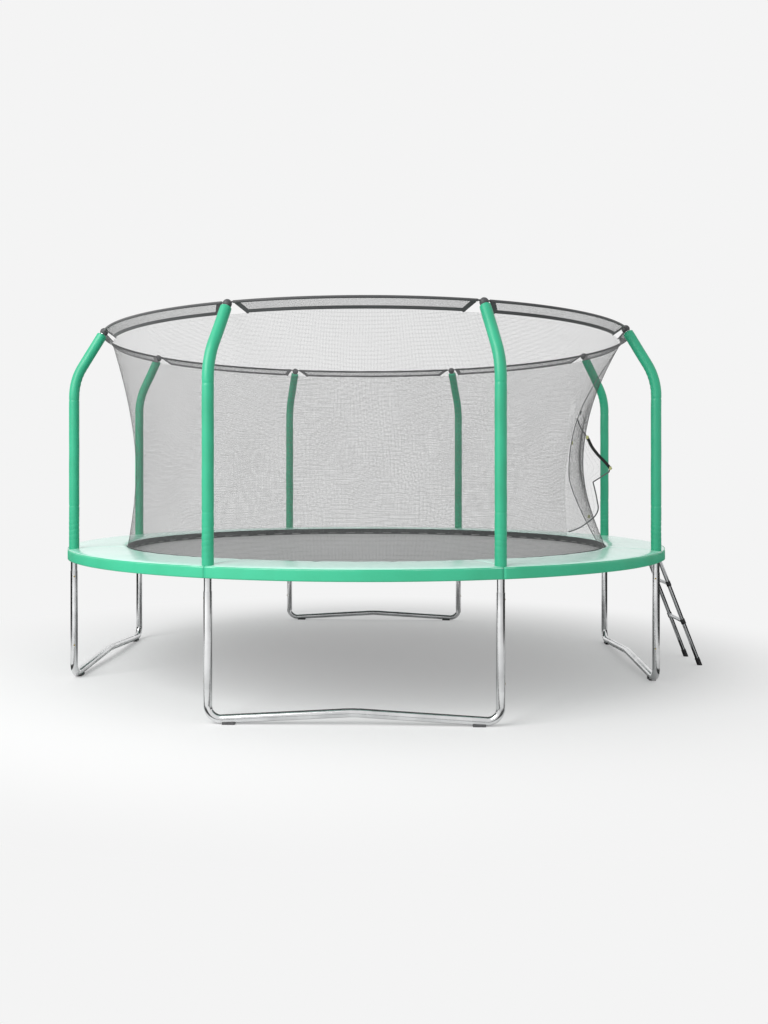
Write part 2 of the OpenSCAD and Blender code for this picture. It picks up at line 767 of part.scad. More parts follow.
// A tube with a strap that hooks over the rail, cut level above the ground
module ladder_rail(side) {
    strap_len = 40;
    foot_gap = ladder_cap_wall;
    color("silver") difference() {
        at_ladder() {
            difference() {
                ladder_tubes(ladder_d, side, 0);
                ladder_tubes(ladder_d - 2 * ladder_wall, side, cut_over);
            }
            translate([0, side * ladder_y, 0]) in_radial_plane()
                rotate_extrude(angle = hook_sweep, start = hook_from)
                    translate([hook_in_r, -hook_w / 2]) square([hook_t, hook_w]);
            translate([ladder_tube_x - hook_t / 2, side * ladder_y - hook_w / 2, ladder_top - strap_len])
                cube([hook_t, hook_w, strap_len - ladder_top + hook_mid_r * sin(hook_from)]);
            translate([ladder_tube_x, side * ladder_y, ladder_top - strap_len])
                cylinder(d = ladder_d - ladder_wall, h = ladder_wall);
            translate([ladder_tube_x, side * ladder_y, ladder_top - ladder_wall])
                cylinder(d = ladder_d - ladder_wall, h = ladder_wall);
        }
        translate([ladder_x, -frame_r, floor_z - frame_r]) cube([frame_r, 2 * frame_r, frame_r + foot_gap]);
    }
}

function ladder_step_z(h) = (floor_z + h - rail_z - ladder_tube_x * sin(ladder_lean)) / cos(ladder_lean);

module ladder_steps() {
    color("silver") at_ladder() for (h = [step_low_h, step_high_h]) difference() {
        translate([ladder_tube_x, -ladder_y, ladder_step_z(h)]) rotate([-90, 0, 0])
            pipe(step_d, step_d - 2 * ladder_wall, ladder_gap);
        for (side = [-1, 1]) ladder_tubes(ladder_d + 2 * fit_gap, side, 0);
    }
}

// Half shells on the outer sides of the tubes, one at each end of a step
module ladder_clips() {
    clip_h = step_d + 10;
    clip_d = ladder_d + 2 * fit_gap + 2 * ladder_cap_wall;
    color("black") at_ladder() for (h = [step_low_h, step_high_h]) for (side = [-1, 1])
        translate([ladder_tube_x, side * ladder_y, ladder_step_z(h) - clip_h / 2]) difference() {
            pipe(clip_d, ladder_d + 2 * fit_gap, clip_h);
            translate([-clip_d, side > 0 ? -clip_d : 0, -cut_over])
                cube([2 * clip_d, clip_d, clip_h + 2 * cut_over]);
        }
}

// Cups on the tubes' lower ends, cut level with the ground
module ladder_feet() {
    foot_len = 55;
    over = 20;
    foot_d = ladder_d + 2 * fit_gap + 2 * ladder_cap_wall;
    color("black") difference() {
        at_ladder() for (side = [-1, 1]) translate([ladder_tube_x, side * ladder_y, ladder_foot - over])
            cylinder(d = foot_d, h = foot_len + over);
        difference() {
            at_ladder() for (side = [-1, 1]) ladder_tubes(ladder_d + 2 * fit_gap, side, 0);
            translate([ladder_x, -frame_r, floor_z - frame_r])
                cube([frame_r, 2 * frame_r, frame_r + ladder_cap_wall - fit_gap]);
        }
        translate([ladder_x, -frame_r, floor_z - frame_r]) cube([frame_r, 2 * frame_r, frame_r]);
    }
}

for (k = [1 : pole_n]) rail_arc(k);
rail_sockets();
for (k = [1 : pole_n]) leg_tube(k);
for (j = [0 : 3]) leg_base(j);
leg_screws();
foot_pads();
poles();
for (k = [1 : pole_n]) pole_sleeve(k);
pole_caps();
top_ring();
top_bands();
for (k = [1 : pole_n - 1]) net_panel(k);
door_panel();
door_side_panel();
zip_tape();
zip_slider();
edge_clip();
door_flap();
flap_strap();
flap_clips();
net_hem();
mat();
v_rings();
springs();
safety_pad();
ladder_rail(-1);  // ladder_rail_left
ladder_rail(1);  // ladder_rail_right
ladder_steps();
ladder_clips();
ladder_feet();
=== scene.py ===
"""The looks of a round backyard trampoline with a net enclosure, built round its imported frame.

Metres. Origin at the centre of the mat's top face, +Z up, ladder and door towards +X.
"""

import math

import bmesh
import bpy
import numpy as np
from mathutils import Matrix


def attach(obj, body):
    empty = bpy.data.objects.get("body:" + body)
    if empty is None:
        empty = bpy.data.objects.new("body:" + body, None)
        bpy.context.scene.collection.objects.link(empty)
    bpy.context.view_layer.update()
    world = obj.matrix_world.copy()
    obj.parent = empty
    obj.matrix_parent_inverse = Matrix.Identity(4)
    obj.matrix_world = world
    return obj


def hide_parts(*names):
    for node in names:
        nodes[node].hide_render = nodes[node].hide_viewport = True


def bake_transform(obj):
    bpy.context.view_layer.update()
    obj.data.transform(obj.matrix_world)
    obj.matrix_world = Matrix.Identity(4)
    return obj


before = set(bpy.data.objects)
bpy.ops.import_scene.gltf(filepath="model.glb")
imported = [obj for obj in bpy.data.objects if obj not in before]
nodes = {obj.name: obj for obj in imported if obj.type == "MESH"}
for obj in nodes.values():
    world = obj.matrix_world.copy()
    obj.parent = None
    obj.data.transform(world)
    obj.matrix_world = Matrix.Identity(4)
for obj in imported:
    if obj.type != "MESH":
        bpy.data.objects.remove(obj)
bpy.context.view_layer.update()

# Camera
# A level camera in front of the leg at -Y, a little above the spring cover.
# Its picture is shifted and not tilted, so that uprights stay upright.
picture_side = 1024
focal_pixels = 958.7
axis_left_of_middle = 17.7
horizon_over_middle = 35.3
camera_distance = 7.226
camera_height = 0.533
camera_turn = math.radians(2.08)

lens = bpy.data.cameras.new("camera")
lens.sensor_width = 36
lens.lens = lens.sensor_width * focal_pixels / picture_side
lens.shift_x = axis_left_of_middle / picture_side
lens.shift_y = -horizon_over_middle / picture_side
camera = bpy.data.objects.new("camera", lens)
camera.location = (
    camera_distance * math.sin(camera_turn),
    -camera_distance * math.cos(camera_turn),
    camera_height,
)
camera.rotation_euler = (math.pi / 2, 0, camera_turn)
bpy.context.collection.objects.link(camera)
bpy.context.scene.camera = camera

# Rail, sockets, legs and poles
# Bright galvanised steel tube: curved rail arcs in T sockets, uprights plugged on the sockets' stubs,
# and bent U bases. The zinc shows a faint spangle, drawn lines and a few dull patches.
steel_colour = (0.76, 0.765, 0.77)
steel_dull = (0.6, 0.605, 0.61)
leg_colour = (0.7, 0.705, 0.71)
leg_dull = (0.55, 0.555, 0.56)


def feed(node, values):
    """Sets a shader node's inputs by their names."""
    for name, value in values.items():
        node.inputs[name].default_value = value


def new_finish(name, colour, roughness, metallic=0.0):
    """A material with one Principled shader of an even colour. Returns both."""
    material = bpy.data.materials.new(name)
    material.use_nodes = True
    shader = material.node_tree.nodes["Principled BSDF"]
    feed(shader, {"Base Color": (*colour, 1), "Roughness": roughness, "Metallic": metallic})
    return material, shader


def pattern(shader, kind, scale, stretch=(1, 1, 1), **settings):
    """The value of a texture on a piece's own coordinates, stretched along its axes."""
    tree = shader.id_data
    place = tree.nodes.new("ShaderNodeTexCoord")
    mapping = tree.nodes.new("ShaderNodeMapping")
    feed(mapping, {"Scale": stretch})
    texture = tree.nodes.new(f"ShaderNodeTex{kind}")
    feed(texture, {"Scale": scale, **settings})
    tree.links.new(place.outputs["Object"], mapping.inputs["Vector"])
    tree.links.new(mapping.outputs["Vector"], texture.inputs["Vector"])
    return texture.outputs["Distance" if kind == "Voronoi" else "Fac"]


def vary_colour(shader, value, low, high, start=0.3, stop=0.7):
    """Runs the base colour from low to high as a value goes from start to stop."""
    tree = shader.id_data
    ramp = tree.nodes.new("ShaderNodeValToRGB")
    ramp.color_ramp.elements[0].position = start
    ramp.color_ramp.elements[0].color = (*low, 1)
    ramp.color_ramp.elements[1].position = stop
    ramp.color_ramp.elements[1].color = (*high, 1)
    tree.links.new(value, ramp.inputs["Fac"])
    tree.links.new(ramp.outputs["Color"], shader.inputs["Base Color"])


def vary_roughness(shader, value, low, high, start=0.3, stop=0.7):
    """Runs the roughness from low to high as a value goes from start to stop."""
    tree = shader.id_data
    span = tree.nodes.new("ShaderNodeMapRange")
    feed(span, {"From Min": start, "From Max": stop, "To Min": low, "To Max": high})
    tree.links.new(value, span.inputs["Value"])
    tree.links.new(span.outputs["Result"], shader.inputs["Roughness"])


def raise_surface(shader, value, distance, strength):
    """Adds a bump of a height in metres, on top of any bump that the shader has already."""
    tree = shader.id_data
    bump = tree.nodes.new("ShaderNodeBump")
    feed(bump, {"Strength": strength, "Distance": distance})
    normal = shader.inputs["Normal"]
    if normal.is_linked:
        tree.links.new(normal.links[0].from_socket, bump.inputs["Normal"])
    tree.links.new(value, bump.inputs["Height"])
    tree.links.new(bump.outputs["Normal"], normal)


def dress(material, *names):
    """Gives CAD nodes a material in place of their own."""
    for name in names:
        nodes[name].data.materials.clear()
        nodes[name].data.materials.append(material)


def galvanised(name, light, dull):
    """Zinc on steel: cells of spangle, dull clouds and fine lines along upright tube."""
    material, shader = new_finish(name, light, 0.25, 1.0)
    clouds = pattern(shader, "Noise", 7, Detail=4)
    spangle = pattern(shader, "Voronoi", 90)
    lines = pattern(shader, "Noise", 260, (1, 1, 0.02), Detail=2)
    vary_colour(shader, clouds, dull, light, 0.3, 0.6)
    vary_roughness(shader, clouds, 0.2, 0.1)
    raise_surface(shader, spangle, 0.0002, 0.12)
    raise_surface(shader, lines, 0.0002, 0.1)
    return material


tube_steel = galvanised("galvanised tube", steel_colour, steel_dull)
places = range(1, 9)
sides = ("right", "back", "left", "front")
dress(tube_steel, "rail_sockets", "poles")
dress(tube_steel, *[f"rail_arc_{k}" for k in places])
dress(galvanised("leg tube", leg_colour, leg_dull), *[f"leg_tube_{k}" for k in places])
dress(tube_steel, *[f"leg_base_{side}" for side in sides])

# Screws and foot pads
# Yellow-passivated steel screws hold each tube joint.
# Dark moulded rubber pads sit under the corners of the U bases.
screw_yellow = (0.55, 0.42, 0.13)
screw_brown = (0.38, 0.26, 0.08)
rubber_black = (0.07, 0.07, 0.072)
rubber_worn = (0.11, 0.11, 0.112)

screw_zinc, shader = new_finish("yellow zinc", screw_yellow, 0.3, 1.0)
tarnish = pattern(shader, "Noise", 120, Detail=3)
vary_colour(shader, tarnish, screw_brown, screw_yellow)
vary_roughness(shader, tarnish, 0.45, 0.25)
dress(screw_zinc, "leg_screws")


def moulded(name, dark, worn, roughness, grain):
    """Moulded plastic or rubber: a fine grain, and paler scuffs in clouds."""
    material, shader = new_finish(name, dark, roughness)
    scuffs = pattern(shader, "Noise", 35, Detail=6)
    skin = pattern(shader, "Noise", grain, Detail=2)
    vary_colour(shader, scuffs, dark, worn, 0.45, 0.8)
    vary_roughness(shader, scuffs, roughness, roughness + 0.2)
    raise_surface(shader, skin, 0.0004, 0.3)
    return material


foot_rubber = moulded("foot rubber", rubber_black, rubber_worn, 0.6, 700)
dress(foot_rubber, "foot_pads")

# Jumping mat
# One disc of woven black cloth, with a folded webbing edge sewn down in three rows.
# Triangular steel rings in the edge take the springs, which pull it flat.
mat_r = 1.865
mat_edge_r = 1.738
mat_edge_rise = 0.002
mat_edge_flat = (1.774, 1.826)
mat_edge_slope = 0.004
mat_edge_round = 0.003
mat_under = -0.002
mat_rings = 96
mat_spokes = 256
mat_colour = (0.13, 0.127, 0.129)
mat_worn = (0.175, 0.171, 0.173)
stitch_rows = (1.748, 1.80, 1.852)
stitch_count = 360
stitch_arc = 0.011
stitch_w = 0.003
stitch_t = 0.001
wave_bands = 3.2
sharp_edge = math.radians(35)


def grid_faces(rows, cols, wrap_rows=False, wrap_cols=False):
    """Four-sided faces between neighbours of a grid of points that are numbered row by row."""
    r, c = np.meshgrid(
        np.arange(rows if wrap_rows else rows - 1),
        np.arange(cols if wrap_cols else cols - 1),
        indexing="ij",
    )
    down, over = (r + 1) % rows, (c + 1) % cols
    corners = (r * cols + c, down * cols + c, down * cols + over, r * cols + over)
    return np.stack(corners, axis=-1).reshape(-1, 4)


def put_mesh(name, points, faces, *materials, closed=True, slots=None):
    """A smooth mesh object at the origin, with its faces turned outwards if it is closed."""
    mesh = bpy.data.meshes.new(name)
    mesh.from_pydata(np.asarray(points).reshape(-1, 3).tolist(), [], np.asarray(faces).tolist())
    for material in materials:
        mesh.materials.append(material)
    if slots is not None:
        mesh.polygons.foreach_set("material_index", np.asarray(slots, dtype=np.int32))
    if closed:
        work = bmesh.new()
        work.from_mesh(mesh)
        bmesh.ops.remove_doubles(work, verts=work.verts, dist=1e-6)
        bmesh.ops.recalc_face_normals(work, faces=work.faces)
        work.to_mesh(mesh)
        work.free()
    mesh.polygons.foreach_set("use_smooth", np.ones(len(mesh.polygons), dtype=bool))
    mesh.set_sharp_from_angle(angle=sharp_edge)
    mesh.update()
    piece = bpy.data.objects.new(name, mesh)
    bpy.context.collection.objects.link(piece)
    return piece


def turned(points, angle):
    """Points turned about the Z axis."""
    c, s = np.cos(angle), np.sin(angle)
    x, y, z = np.moveaxis(np.asarray(points, dtype=float), -1, 0)
    return np.stack([x * c - y * s, x * s + y * c, z + 0 * x], axis=-1)


def full_turn(count):
    """Even angles of a whole turn."""
    return np.linspace(0, 2 * math.pi, count, endpoint=False)


def polar(radius, angle, height):
    """Points at a distance from the Z axis, an angle about it and a height."""
    x = radius * np.cos(angle)
    return np.stack([x, radius * np.sin(angle), height + 0 * x], axis=-1)


def ringed(radius, height, angle):
    """Points of a profile of radius and height carried round Z to each angle: a grid of angle by profile."""
    return polar(radius[None, :], angle[:, None], height)


def woven(name, dark, light, roughness, thread, lift, sheen=0.25):
    """Plain weave: two sets of threads at right angles in bump, with clouds of wear in colour.

    A wave texture of scale 1 has wave_bands bands in a metre.
    """
    material, shader = new_finish(name, dark, roughness)
    wear = pattern(shader, "Noise", 2.5, Detail=6)
    vary_colour(shader, wear, dark, light)
    for direction in ("X", "Y"):
        threads = pattern(shader, "Wave", 1 / thread / wave_bands)
        threads.node.bands_direction = direction
        raise_surface(shader, threads, lift, 0.35)
    feed(shader, {"Sheen Weight": sheen, "Sheen Roughness": 0.4})
    return material


mat_cloth = woven("mat cloth", mat_colour, mat_worn, 0.5, 0.003, 0.0004, 0.6)
webbing_dark = woven("dark webbing", (0.02, 0.02, 0.021), (0.034, 0.034, 0.036), 0.7, 0.004, 0.0005)
stitch_thread, _ = new_finish("stitch thread", (0.3, 0.3, 0.3), 0.7)

spokes = full_turn(mat_spokes)
flat_r = np.linspace(0, mat_edge_r, mat_rings)
under_r = flat_r[::-5]
turn_r = mat_r - mat_edge_round
edge_r = np.array([mat_edge_r, mat_edge_r + mat_edge_slope, *mat_edge_flat, turn_r, mat_r, turn_r])
edge_z = np.array([0.0, 0.9, 1.0, 1.0, 0.9, 0.0, -1.0]) * mat_edge_rise
profile_r = np.concatenate([flat_r[:-1], edge_r, under_r])
profile_z = np.concatenate([0 * flat_r[:-1], edge_z, 0 * under_r + mat_under])
mat_points = ringed(profile_r, profile_z, spokes)
mat_faces = grid_faces(mat_spokes, len(profile_r), wrap_rows=True)
face_r = np.linalg.norm(mat_points.reshape(-1, 3)[mat_faces].mean(axis=1)[:, :2], axis=1)
mat = put_mesh("jumping_mat", mat_points, mat_faces, mat_cloth, webbing_dark, slots=face_r > mat_edge_r)
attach(mat, "mat")
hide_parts("mat")


def strips(lines, outward, width, thick):
    """Flat yarns or tapes along lines of points: a box section carried along each line, with closed ends.

    Width lies across the line and thick along outward. The faces of each line's four sides come in the
    order outer, right, inner, left for every step, and its two ends come after all lines' sides.
    """
    lines = np.asarray(lines, dtype=float)
    count, steps = lines.shape[:2]
    along = np.gradient(lines, axis=1)
    along /= np.linalg.norm(along, axis=2, keepdims=True)
    outward = np.broadcast_to(outward, lines.shape)
    across = np.cross(along, outward)
    across /= np.linalg.norm(across, axis=2, keepdims=True)
    half_w = across * np.asarray(width) / 2
    half_t = outward * thick / 2
    ring = np.stack(
        [lines + half_t - half_w, lines + half_t + half_w, lines - half_t + half_w, lines - half_t - half_w],
        axis=2,
    )
    first = np.arange(count)[:, None] * steps * 4 + np.arange(steps - 1)[None, :] * 4
    side = np.arange(4)
    turn = (side + 1) % 4
    first = first[:, :, None]
    walls = np.stack([first + side, first + turn, first + 4 + turn, first + 4 + side], axis=-1)
    start = np.arange(count)[:, None] * steps * 4
    ends = np.concatenate([start + side[::-1], start + (steps - 1) * 4 + side])
    return ring.reshape(-1, 3), np.concatenate([walls.reshape(-1, 4), ends])


def joined(*parts):
    """Points and faces of several meshes as one."""
    shift = np.cumsum([0] + [len(points) for points, _ in parts[:-1]])
    points = np.concatenate([points for points, _ in parts])
    return points, np.concatenate([faces + s for (_, faces), s in zip(parts, shift)])


stitch_ends = full_turn(stitch_count)[:, None] + np.linspace(0, stitch_arc, 3)
stitch_lines = [polar(r, stitch_ends, mat_edge_rise) for r in stitch_rows]
stitch_parts = strips(np.concatenate(stitch_lines), (0, 0, 1), stitch_w, stitch_t)
stitches = put_mesh("mat_stitches", *stitch_parts, stitch_thread)
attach(stitches, "mat")
dress(galvanised("ring steel", (0.5, 0.5, 0.51), (0.38, 0.38, 0.39)), "v_rings")

# Springs
# Close-wound extension springs of zinc-plated wire, one hook in a hole of the rail and one in a ring of
# the mat. Groups of four share a mesh.
spring_count = 88
springs_in_group = 4
wire_r = 0.002
coil_r = 0.0095
coil_from = 1.911
coil_to = 2.058
coil_turns = 30
points_in_turn = 8
rail_hole_r = 2.092
mat_hook_r = 1.888
spring_z = -0.001
wire_sides = 5
off_line = (0.31, 0.17, 0.93)
first_pole = math.radians(22.5)


def tubes(lines, radius, sides):
    """Round wires along lines: a ring of points about each point, square to the line.

    Rings start from off_line, a direction in which no wire runs. A ring drawn in to one point closes each
    end, once the mesh's doubles are merged.
    """
    lines = np.asarray(lines, dtype=float)
    count, steps = lines.shape[:2]
    along = np.gradient(lines, axis=1)
    along /= np.linalg.norm(along, axis=2, keepdims=True)
    aside = np.cross(along, off_line)
    aside /= np.linalg.norm(aside, axis=2, keepdims=True)
    above = np.cross(along, aside)
    turn = full_turn(sides)
    ring = aside[:, :, None] * np.cos(turn)[:, None] + above[:, :, None] * np.sin(turn)[:, None]
    tips = np.repeat(lines[:, [0, -1], None], sides, axis=2)
    points = np.concatenate([tips[:, :1], lines[:, :, None] + radius * ring, tips[:, 1:]], axis=1)
    steps += 2
    wall = grid_faces(steps, sides, wrap_cols=True)
    first = np.arange(count)[:, None, None] * steps * sides
    return points.reshape(-1, 3), (first + wall[None]).reshape(-1, 4)


def spring_line():
    """The wire's middle along X: a hook down through the ring, a helix, and a straight end into the rail."""
    turns = np.linspace(0, 1, coil_turns * points_in_turn + 1)
    swing = 2 * math.pi * coil_turns * turns
    helix = np.stack(
        [coil_from + (coil_to - coil_from) * turns, coil_r * np.cos(swing), coil_r * np.sin(swing)], axis=-1
    )
    ring_hook = np.array([
        [mat_hook_r, 0, -0.008], [mat_hook_r, 0, -0.002], [mat_hook_r + 0.001, 0, 0.004],
        [mat_hook_r + 0.006, 0, 0.006], [coil_from - 0.008, 0, 0.004], [coil_from - 0.003, 0.004, 0.0],
    ])
    rail_hook = np.array([
        [coil_to + 0.004, 0.005, 0], [coil_to + 0.009, 0, 0], [coil_to + 0.02, 0, 0], [rail_hole_r, 0, 0],
    ])
    return np.concatenate([ring_hook, helix, rail_hook]) + (0, 0, spring_z)


spring_steel = galvanised("spring steel", (0.6, 0.61, 0.63), (0.45, 0.46, 0.48))
one_spring = spring_line()
spring_angle = first_pole + (np.arange(spring_count) + 0.5) * 2 * math.pi / spring_count
for group in range(spring_count // springs_in_group):
    angles = spring_angle[group * springs_in_group : (group + 1) * springs_in_group]
    lines = np.stack([turned(one_spring, angle) for angle in angles])
    springs = put_mesh(f"springs_{group + 1}", *tubes(lines, wire_r, wire_sides), spring_steel)
    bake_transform(springs)
    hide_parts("springs")

# Spring cover
# Eight padded sections of foam in green coated cloth lie over the springs and the rail, seam to seam at
# the poles. Each is sewn from a top and a bottom sheet, and air in the foam swells it between the seams.
cover_in = 1.749
cover_out = 2.149
cover_low = 0.0267
cover_top_out = 0.0427
cover_top_in = 0.0507
cover_crown = 0.004
cover_mid = 0.008
cover_belly = 0.007
sheet_gap = 0.001
edge_fullness = 0.15
cover_seam = math.radians(0.05)
end_tuck = math.radians(0.05)
cover_across = 15
cover_along = 61
swell_frames = 20
swell_most = 0.004
# Both tones are the green cloth of the skirt and sleeves, made pale mint by a painted sheen: the reflection
# of the bright surroundings on the cover's top is painted into its colour.
cover_mint_painted_sheen = (0.45, 0.81, 0.69)
cover_deep_painted_sheen = (0.39, 0.76, 0.63)


def coated_cloth(name, light, deep, roughness, coat, gloss, crease=0.16, run=(1, 1, 1)):
    """Coated cloth: a film over fine weave, creases in bump, and a coat whose refractive index is gloss."""
    material, shader = new_finish(name, light, roughness)
    clouds = pattern(shader, "Noise", 5, Detail=5)
    creases = pattern(shader, "Noise", 22, run, Detail=4, Distortion=0.8)
    threads = pattern(shader, "Voronoi", 420)
    vary_colour(shader, clouds, deep, light, 0.25, 0.6)
    vary_roughness(shader, clouds, roughness + 0.08, roughness)
    raise_surface(shader, creases, 0.002, crease)
    raise_surface(shader, threads, 0.0003, 0.15)
    feed(shader, {"Coat Weight": coat, "Coat Roughness": 0.22, "Coat IOR": gloss})
    return material


def cover_section(from_angle, to_angle):
    """A closed pad: top and bottom sheets on a grid of angle by width, sewn along their edges.

    The top falls from the inner to the outer edge and is crowned between them by half a sine wave.
    """
    across = 0.5 - 0.5 * np.cos(np.linspace(0, math.pi, cover_across))
    first, last = from_angle + cover_seam, to_angle - cover_seam
    inner = np.linspace(first + end_tuck, last - end_tuck, cover_along - 2)
    along = np.concatenate([[first], inner, [last]])
    top = cover_top_in + (cover_top_out - cover_top_in) * across + cover_crown * np.sin(math.pi * across)
    rim = np.sqrt(np.sin(math.pi * np.clip(across, 0, 1)))
    middle = cover_low + cover_mid
    radius = cover_in + (cover_out - cover_in) * across
    upper = ringed(radius, middle + (top - middle) * rim**edge_fullness, along)
    lower = ringed(radius, middle - sheet_gap - cover_belly * rim**edge_fullness, along)[:, ::-1]
    points = np.concatenate([upper, lower], axis=1)
    round_it = points.shape[1]
    wall = grid_faces(cover_along, round_it, wrap_cols=True)
    left = np.arange(cover_across - 1)
    end = np.stack([left, left + 1, round_it - 2 - left, round_it - 1 - left], axis=-1)
    return points, wall, end, (cover_along - 1) * round_it


def swollen(points, faces, pinned):
    """Points of a sewn pad once its cloth has settled under pressure, moved by swell_most at most."""
    trial = put_mesh("pad_trial", points, faces)
    start = np.asarray(points).reshape(-1, 3)
    held = trial.vertex_groups.new(name="sewn")
    held.add(np.flatnonzero(pinned.reshape(-1)).tolist(), 1.0, "REPLACE")
    cloth = trial.modifiers.new("cloth", "CLOTH")
    cloth.settings.quality = 6
    cloth.settings.mass = 0.25
    cloth.settings.tension_stiffness = 12
    cloth.settings.compression_stiffness = 12
    cloth.settings.bending_stiffness = 0.4
    cloth.settings.shrink_min = -0.03
    cloth.settings.use_pressure = True
    cloth.settings.uniform_pressure_force = 4
    cloth.settings.vertex_group_mass = held.name
    cloth.settings.effector_weights.gravity = 0
    for step in range(1, swell_frames + 1):
        bpy.context.scene.frame_set(step)
    settled = trial.evaluated_get(bpy.context.evaluated_depsgraph_get())
    after = np.zeros(start.size, dtype=np.float32)
    settled.data.vertices.foreach_get("co", after)
    bpy.context.scene.frame_set(1)
    bpy.data.objects.remove(trial)
    move = after.reshape(-1, 3) - start
    size = np.linalg.norm(move, axis=1, keepdims=True)
    return start + move * np.minimum(1, swell_most / np.maximum(size, 1e-9))


# The cover's cloth carries painted sheen in its pale colour, in both tones of its random clouds.
cover_cloth_painted_sheen = coated_cloth("cover cloth with painted sheen", cover_mint_painted_sheen, cover_deep_painted_sheen, 0.3, 1.0, 2.0)
pole_step = math.radians(45)
section, wall, end, last_row = cover_section(first_pole, first_pole + pole_step)
section_faces = np.concatenate([wall, end[:, ::-1], end + last_row])
sewn = np.zeros(section.shape[:2], dtype=bool)
sewn[[0, -1], :] = True
sewn[:, [0, cover_across - 1]] = True
sewn[:, cover_across:] = True
swelled = swollen(section, section_faces, sewn)
for k in range(8):
    cover = put_mesh(f"cover_section_{k + 1}", turned(swelled, k * pole_step), section_faces, cover_cloth_painted_sheen)
    rounding = cover.modifiers.new("rounding", "SUBSURF")
    rounding.levels = rounding.render_levels = 1
    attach(cover, "frame")
    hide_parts("safety_pad")

# Skirt
# A strip of the same cloth hangs from the cover's outer edge over the rail, tucked in along its top.
# It waves a little between the poles, and its sections meet at the covers' seams.
skirt_top = 0.0405
skirt_foot = -0.0253
skirt_r = 2.1485
skirt_wave = 0.0012
skirt_waves = 24
skirt_swells = 8
skirt_tuck = 0.002
skirt_t = 0.0015
skirt_along = 91
skirt_down = 9
skirt_green = (0.032, 0.43, 0.235)
skirt_deep = (0.026, 0.38, 0.2)

skirt_cloth = coated_cloth("skirt cloth", skirt_green, skirt_deep, 0.42, 0.1, 1.4)
for k in range(8):
    angle = first_pole + k * pole_step + np.linspace(0, pole_step, skirt_along)[:, None]
    drop = np.linspace(0, 1, skirt_down)[None, :]
    wave = skirt_wave * np.sin(skirt_waves * angle) * np.sin(skirt_swells * angle + 1) * drop
    radius = skirt_r + wave - skirt_tuck * (1 - drop) ** 4
    height = skirt_top + (skirt_foot - skirt_top) * drop
    points = polar(radius, angle, height)
    wall = grid_faces(skirt_along, skirt_down)
    skirt = put_mesh(f"cover_skirt_{k + 1}", points, wall, skirt_cloth, closed=False)
    thickness = skirt.modifiers.new("thickness", "SOLIDIFY")
    thickness.thickness = skirt_t
    thickness.offset = -1
    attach(skirt, "frame")

# Pole sleeves
# Each bent pole stands in a foam tube under green coated cloth, drawn over it in three lengths.
# The cloth is tight, with a shallow ring where lengths meet and creases inside the bend and above the foot.
sleeve_r = 0.0338
sleeve_bore = 0.0193
rail_r = 2.11
sleeve_foot = 0.034
bend_low = 1.06925
bend_r = 0.42
bend_tilt = math.radians(30)
tip_length = 0.2605
sleeve_round = 36
bore_step = 8
upright_steps = 240
arc_steps = 40
tip_steps = 30
sleeve_seams = (0.2, 0.67)
seam_deep = 0.0016
seam_spread = 0.004
bend_at = 0.76
bend_spread = 0.08
bend_deep = 0.0009
bend_waves = 260
lump_high = 0.0005
lump_waves = (37, 11)
crease_at = 0.1
crease_spread = 0.09
crease_deep = 0.0014
crease_waves = 280
crease_sway = 1.6
end_deep = 0.004
end_spread = 0.003
sleeve_run = (0.5, 0.5, 1.6)
sleeve_green = (0.016, 0.36, 0.195)
sleeve_deep = (0.013, 0.31, 0.165)


def pole_line():
    """A pole's middle in X and Z, and its share of length so far: upright, an arc inwards, a tilted tip."""
    heights = np.linspace(sleeve_foot, bend_low, upright_steps)
    upright = np.stack([rail_r + 0 * heights, heights], axis=-1)
    turn = np.linspace(0, bend_tilt, arc_steps)[1:]
    arc = np.stack([rail_r - bend_r * (1 - np.cos(turn)), bend_low + bend_r * np.sin(turn)], axis=-1)
    way = np.array([-math.sin(bend_tilt), math.cos(bend_tilt)])
    straight = arc[-1] + np.linspace(0, tip_length, tip_steps)[1:, None] * way
    line = np.concatenate([upright, arc, straight])
    length = np.concatenate([[0], np.cumsum(np.linalg.norm(np.diff(line, axis=0), axis=1))])
    return line, length / length[-1]


def bell(value, middle, spread):
    """A bell curve: 1 at the middle, falling off on both sides."""
    return np.exp(-(((value - middle) / spread) ** 2))


def sleeve_surface(k):
    """A foam tube round a pole's line: its outer face from foot to tip, then its bore back to the foot.

    The outer face is narrowed at seams and ends, and creased inside the bend and above the foot.
    """
    line, share = pole_line()
    along = np.gradient(line, axis=0)
    along /= np.linalg.norm(along, axis=1, keepdims=True)
    turn = full_turn(sleeve_round)[None, :]
    s = share[:, None]
    radius = sleeve_r * np.ones_like(s + turn)
    for seam in sleeve_seams:
        radius -= seam_deep * bell(s, seam, seam_spread)
    inside = np.clip(-np.cos(turn), 0, 1) * bell(s, bend_at, bend_spread)
    radius -= bend_deep * inside * (1 + np.sin(s * bend_waves))
    radius += lump_high * np.sin(s * lump_waves[0] + 3 * turn + k) * np.sin(s * lump_waves[1] + 2 * turn)
    folds = np.sin(s * crease_waves + crease_sway * np.sin(turn + 2 * k))
    radius -= crease_deep * np.clip(bell(s, crease_at, crease_spread) * folds, 0, 1) ** 2
    radius -= end_deep * np.exp(-(1 - s) / end_spread)
    across = np.stack([along[:, 1], 0 * along[:, 0], -along[:, 0]], axis=-1)
    radius[[0, -1]] = sleeve_bore
    middle = np.stack([line[:, 0], 0 * line[:, 0], line[:, 1]], axis=-1)
    ring = np.cos(turn)[:, :, None] * across[:, None] + np.sin(turn)[:, :, None] * np.array([0, 1, 0])
    outer = middle[:, None] + radius[:, :, None] * ring
    bore = middle[:, None] + sleeve_bore * ring
    return np.concatenate([outer, bore[-2:0:-bore_step]])


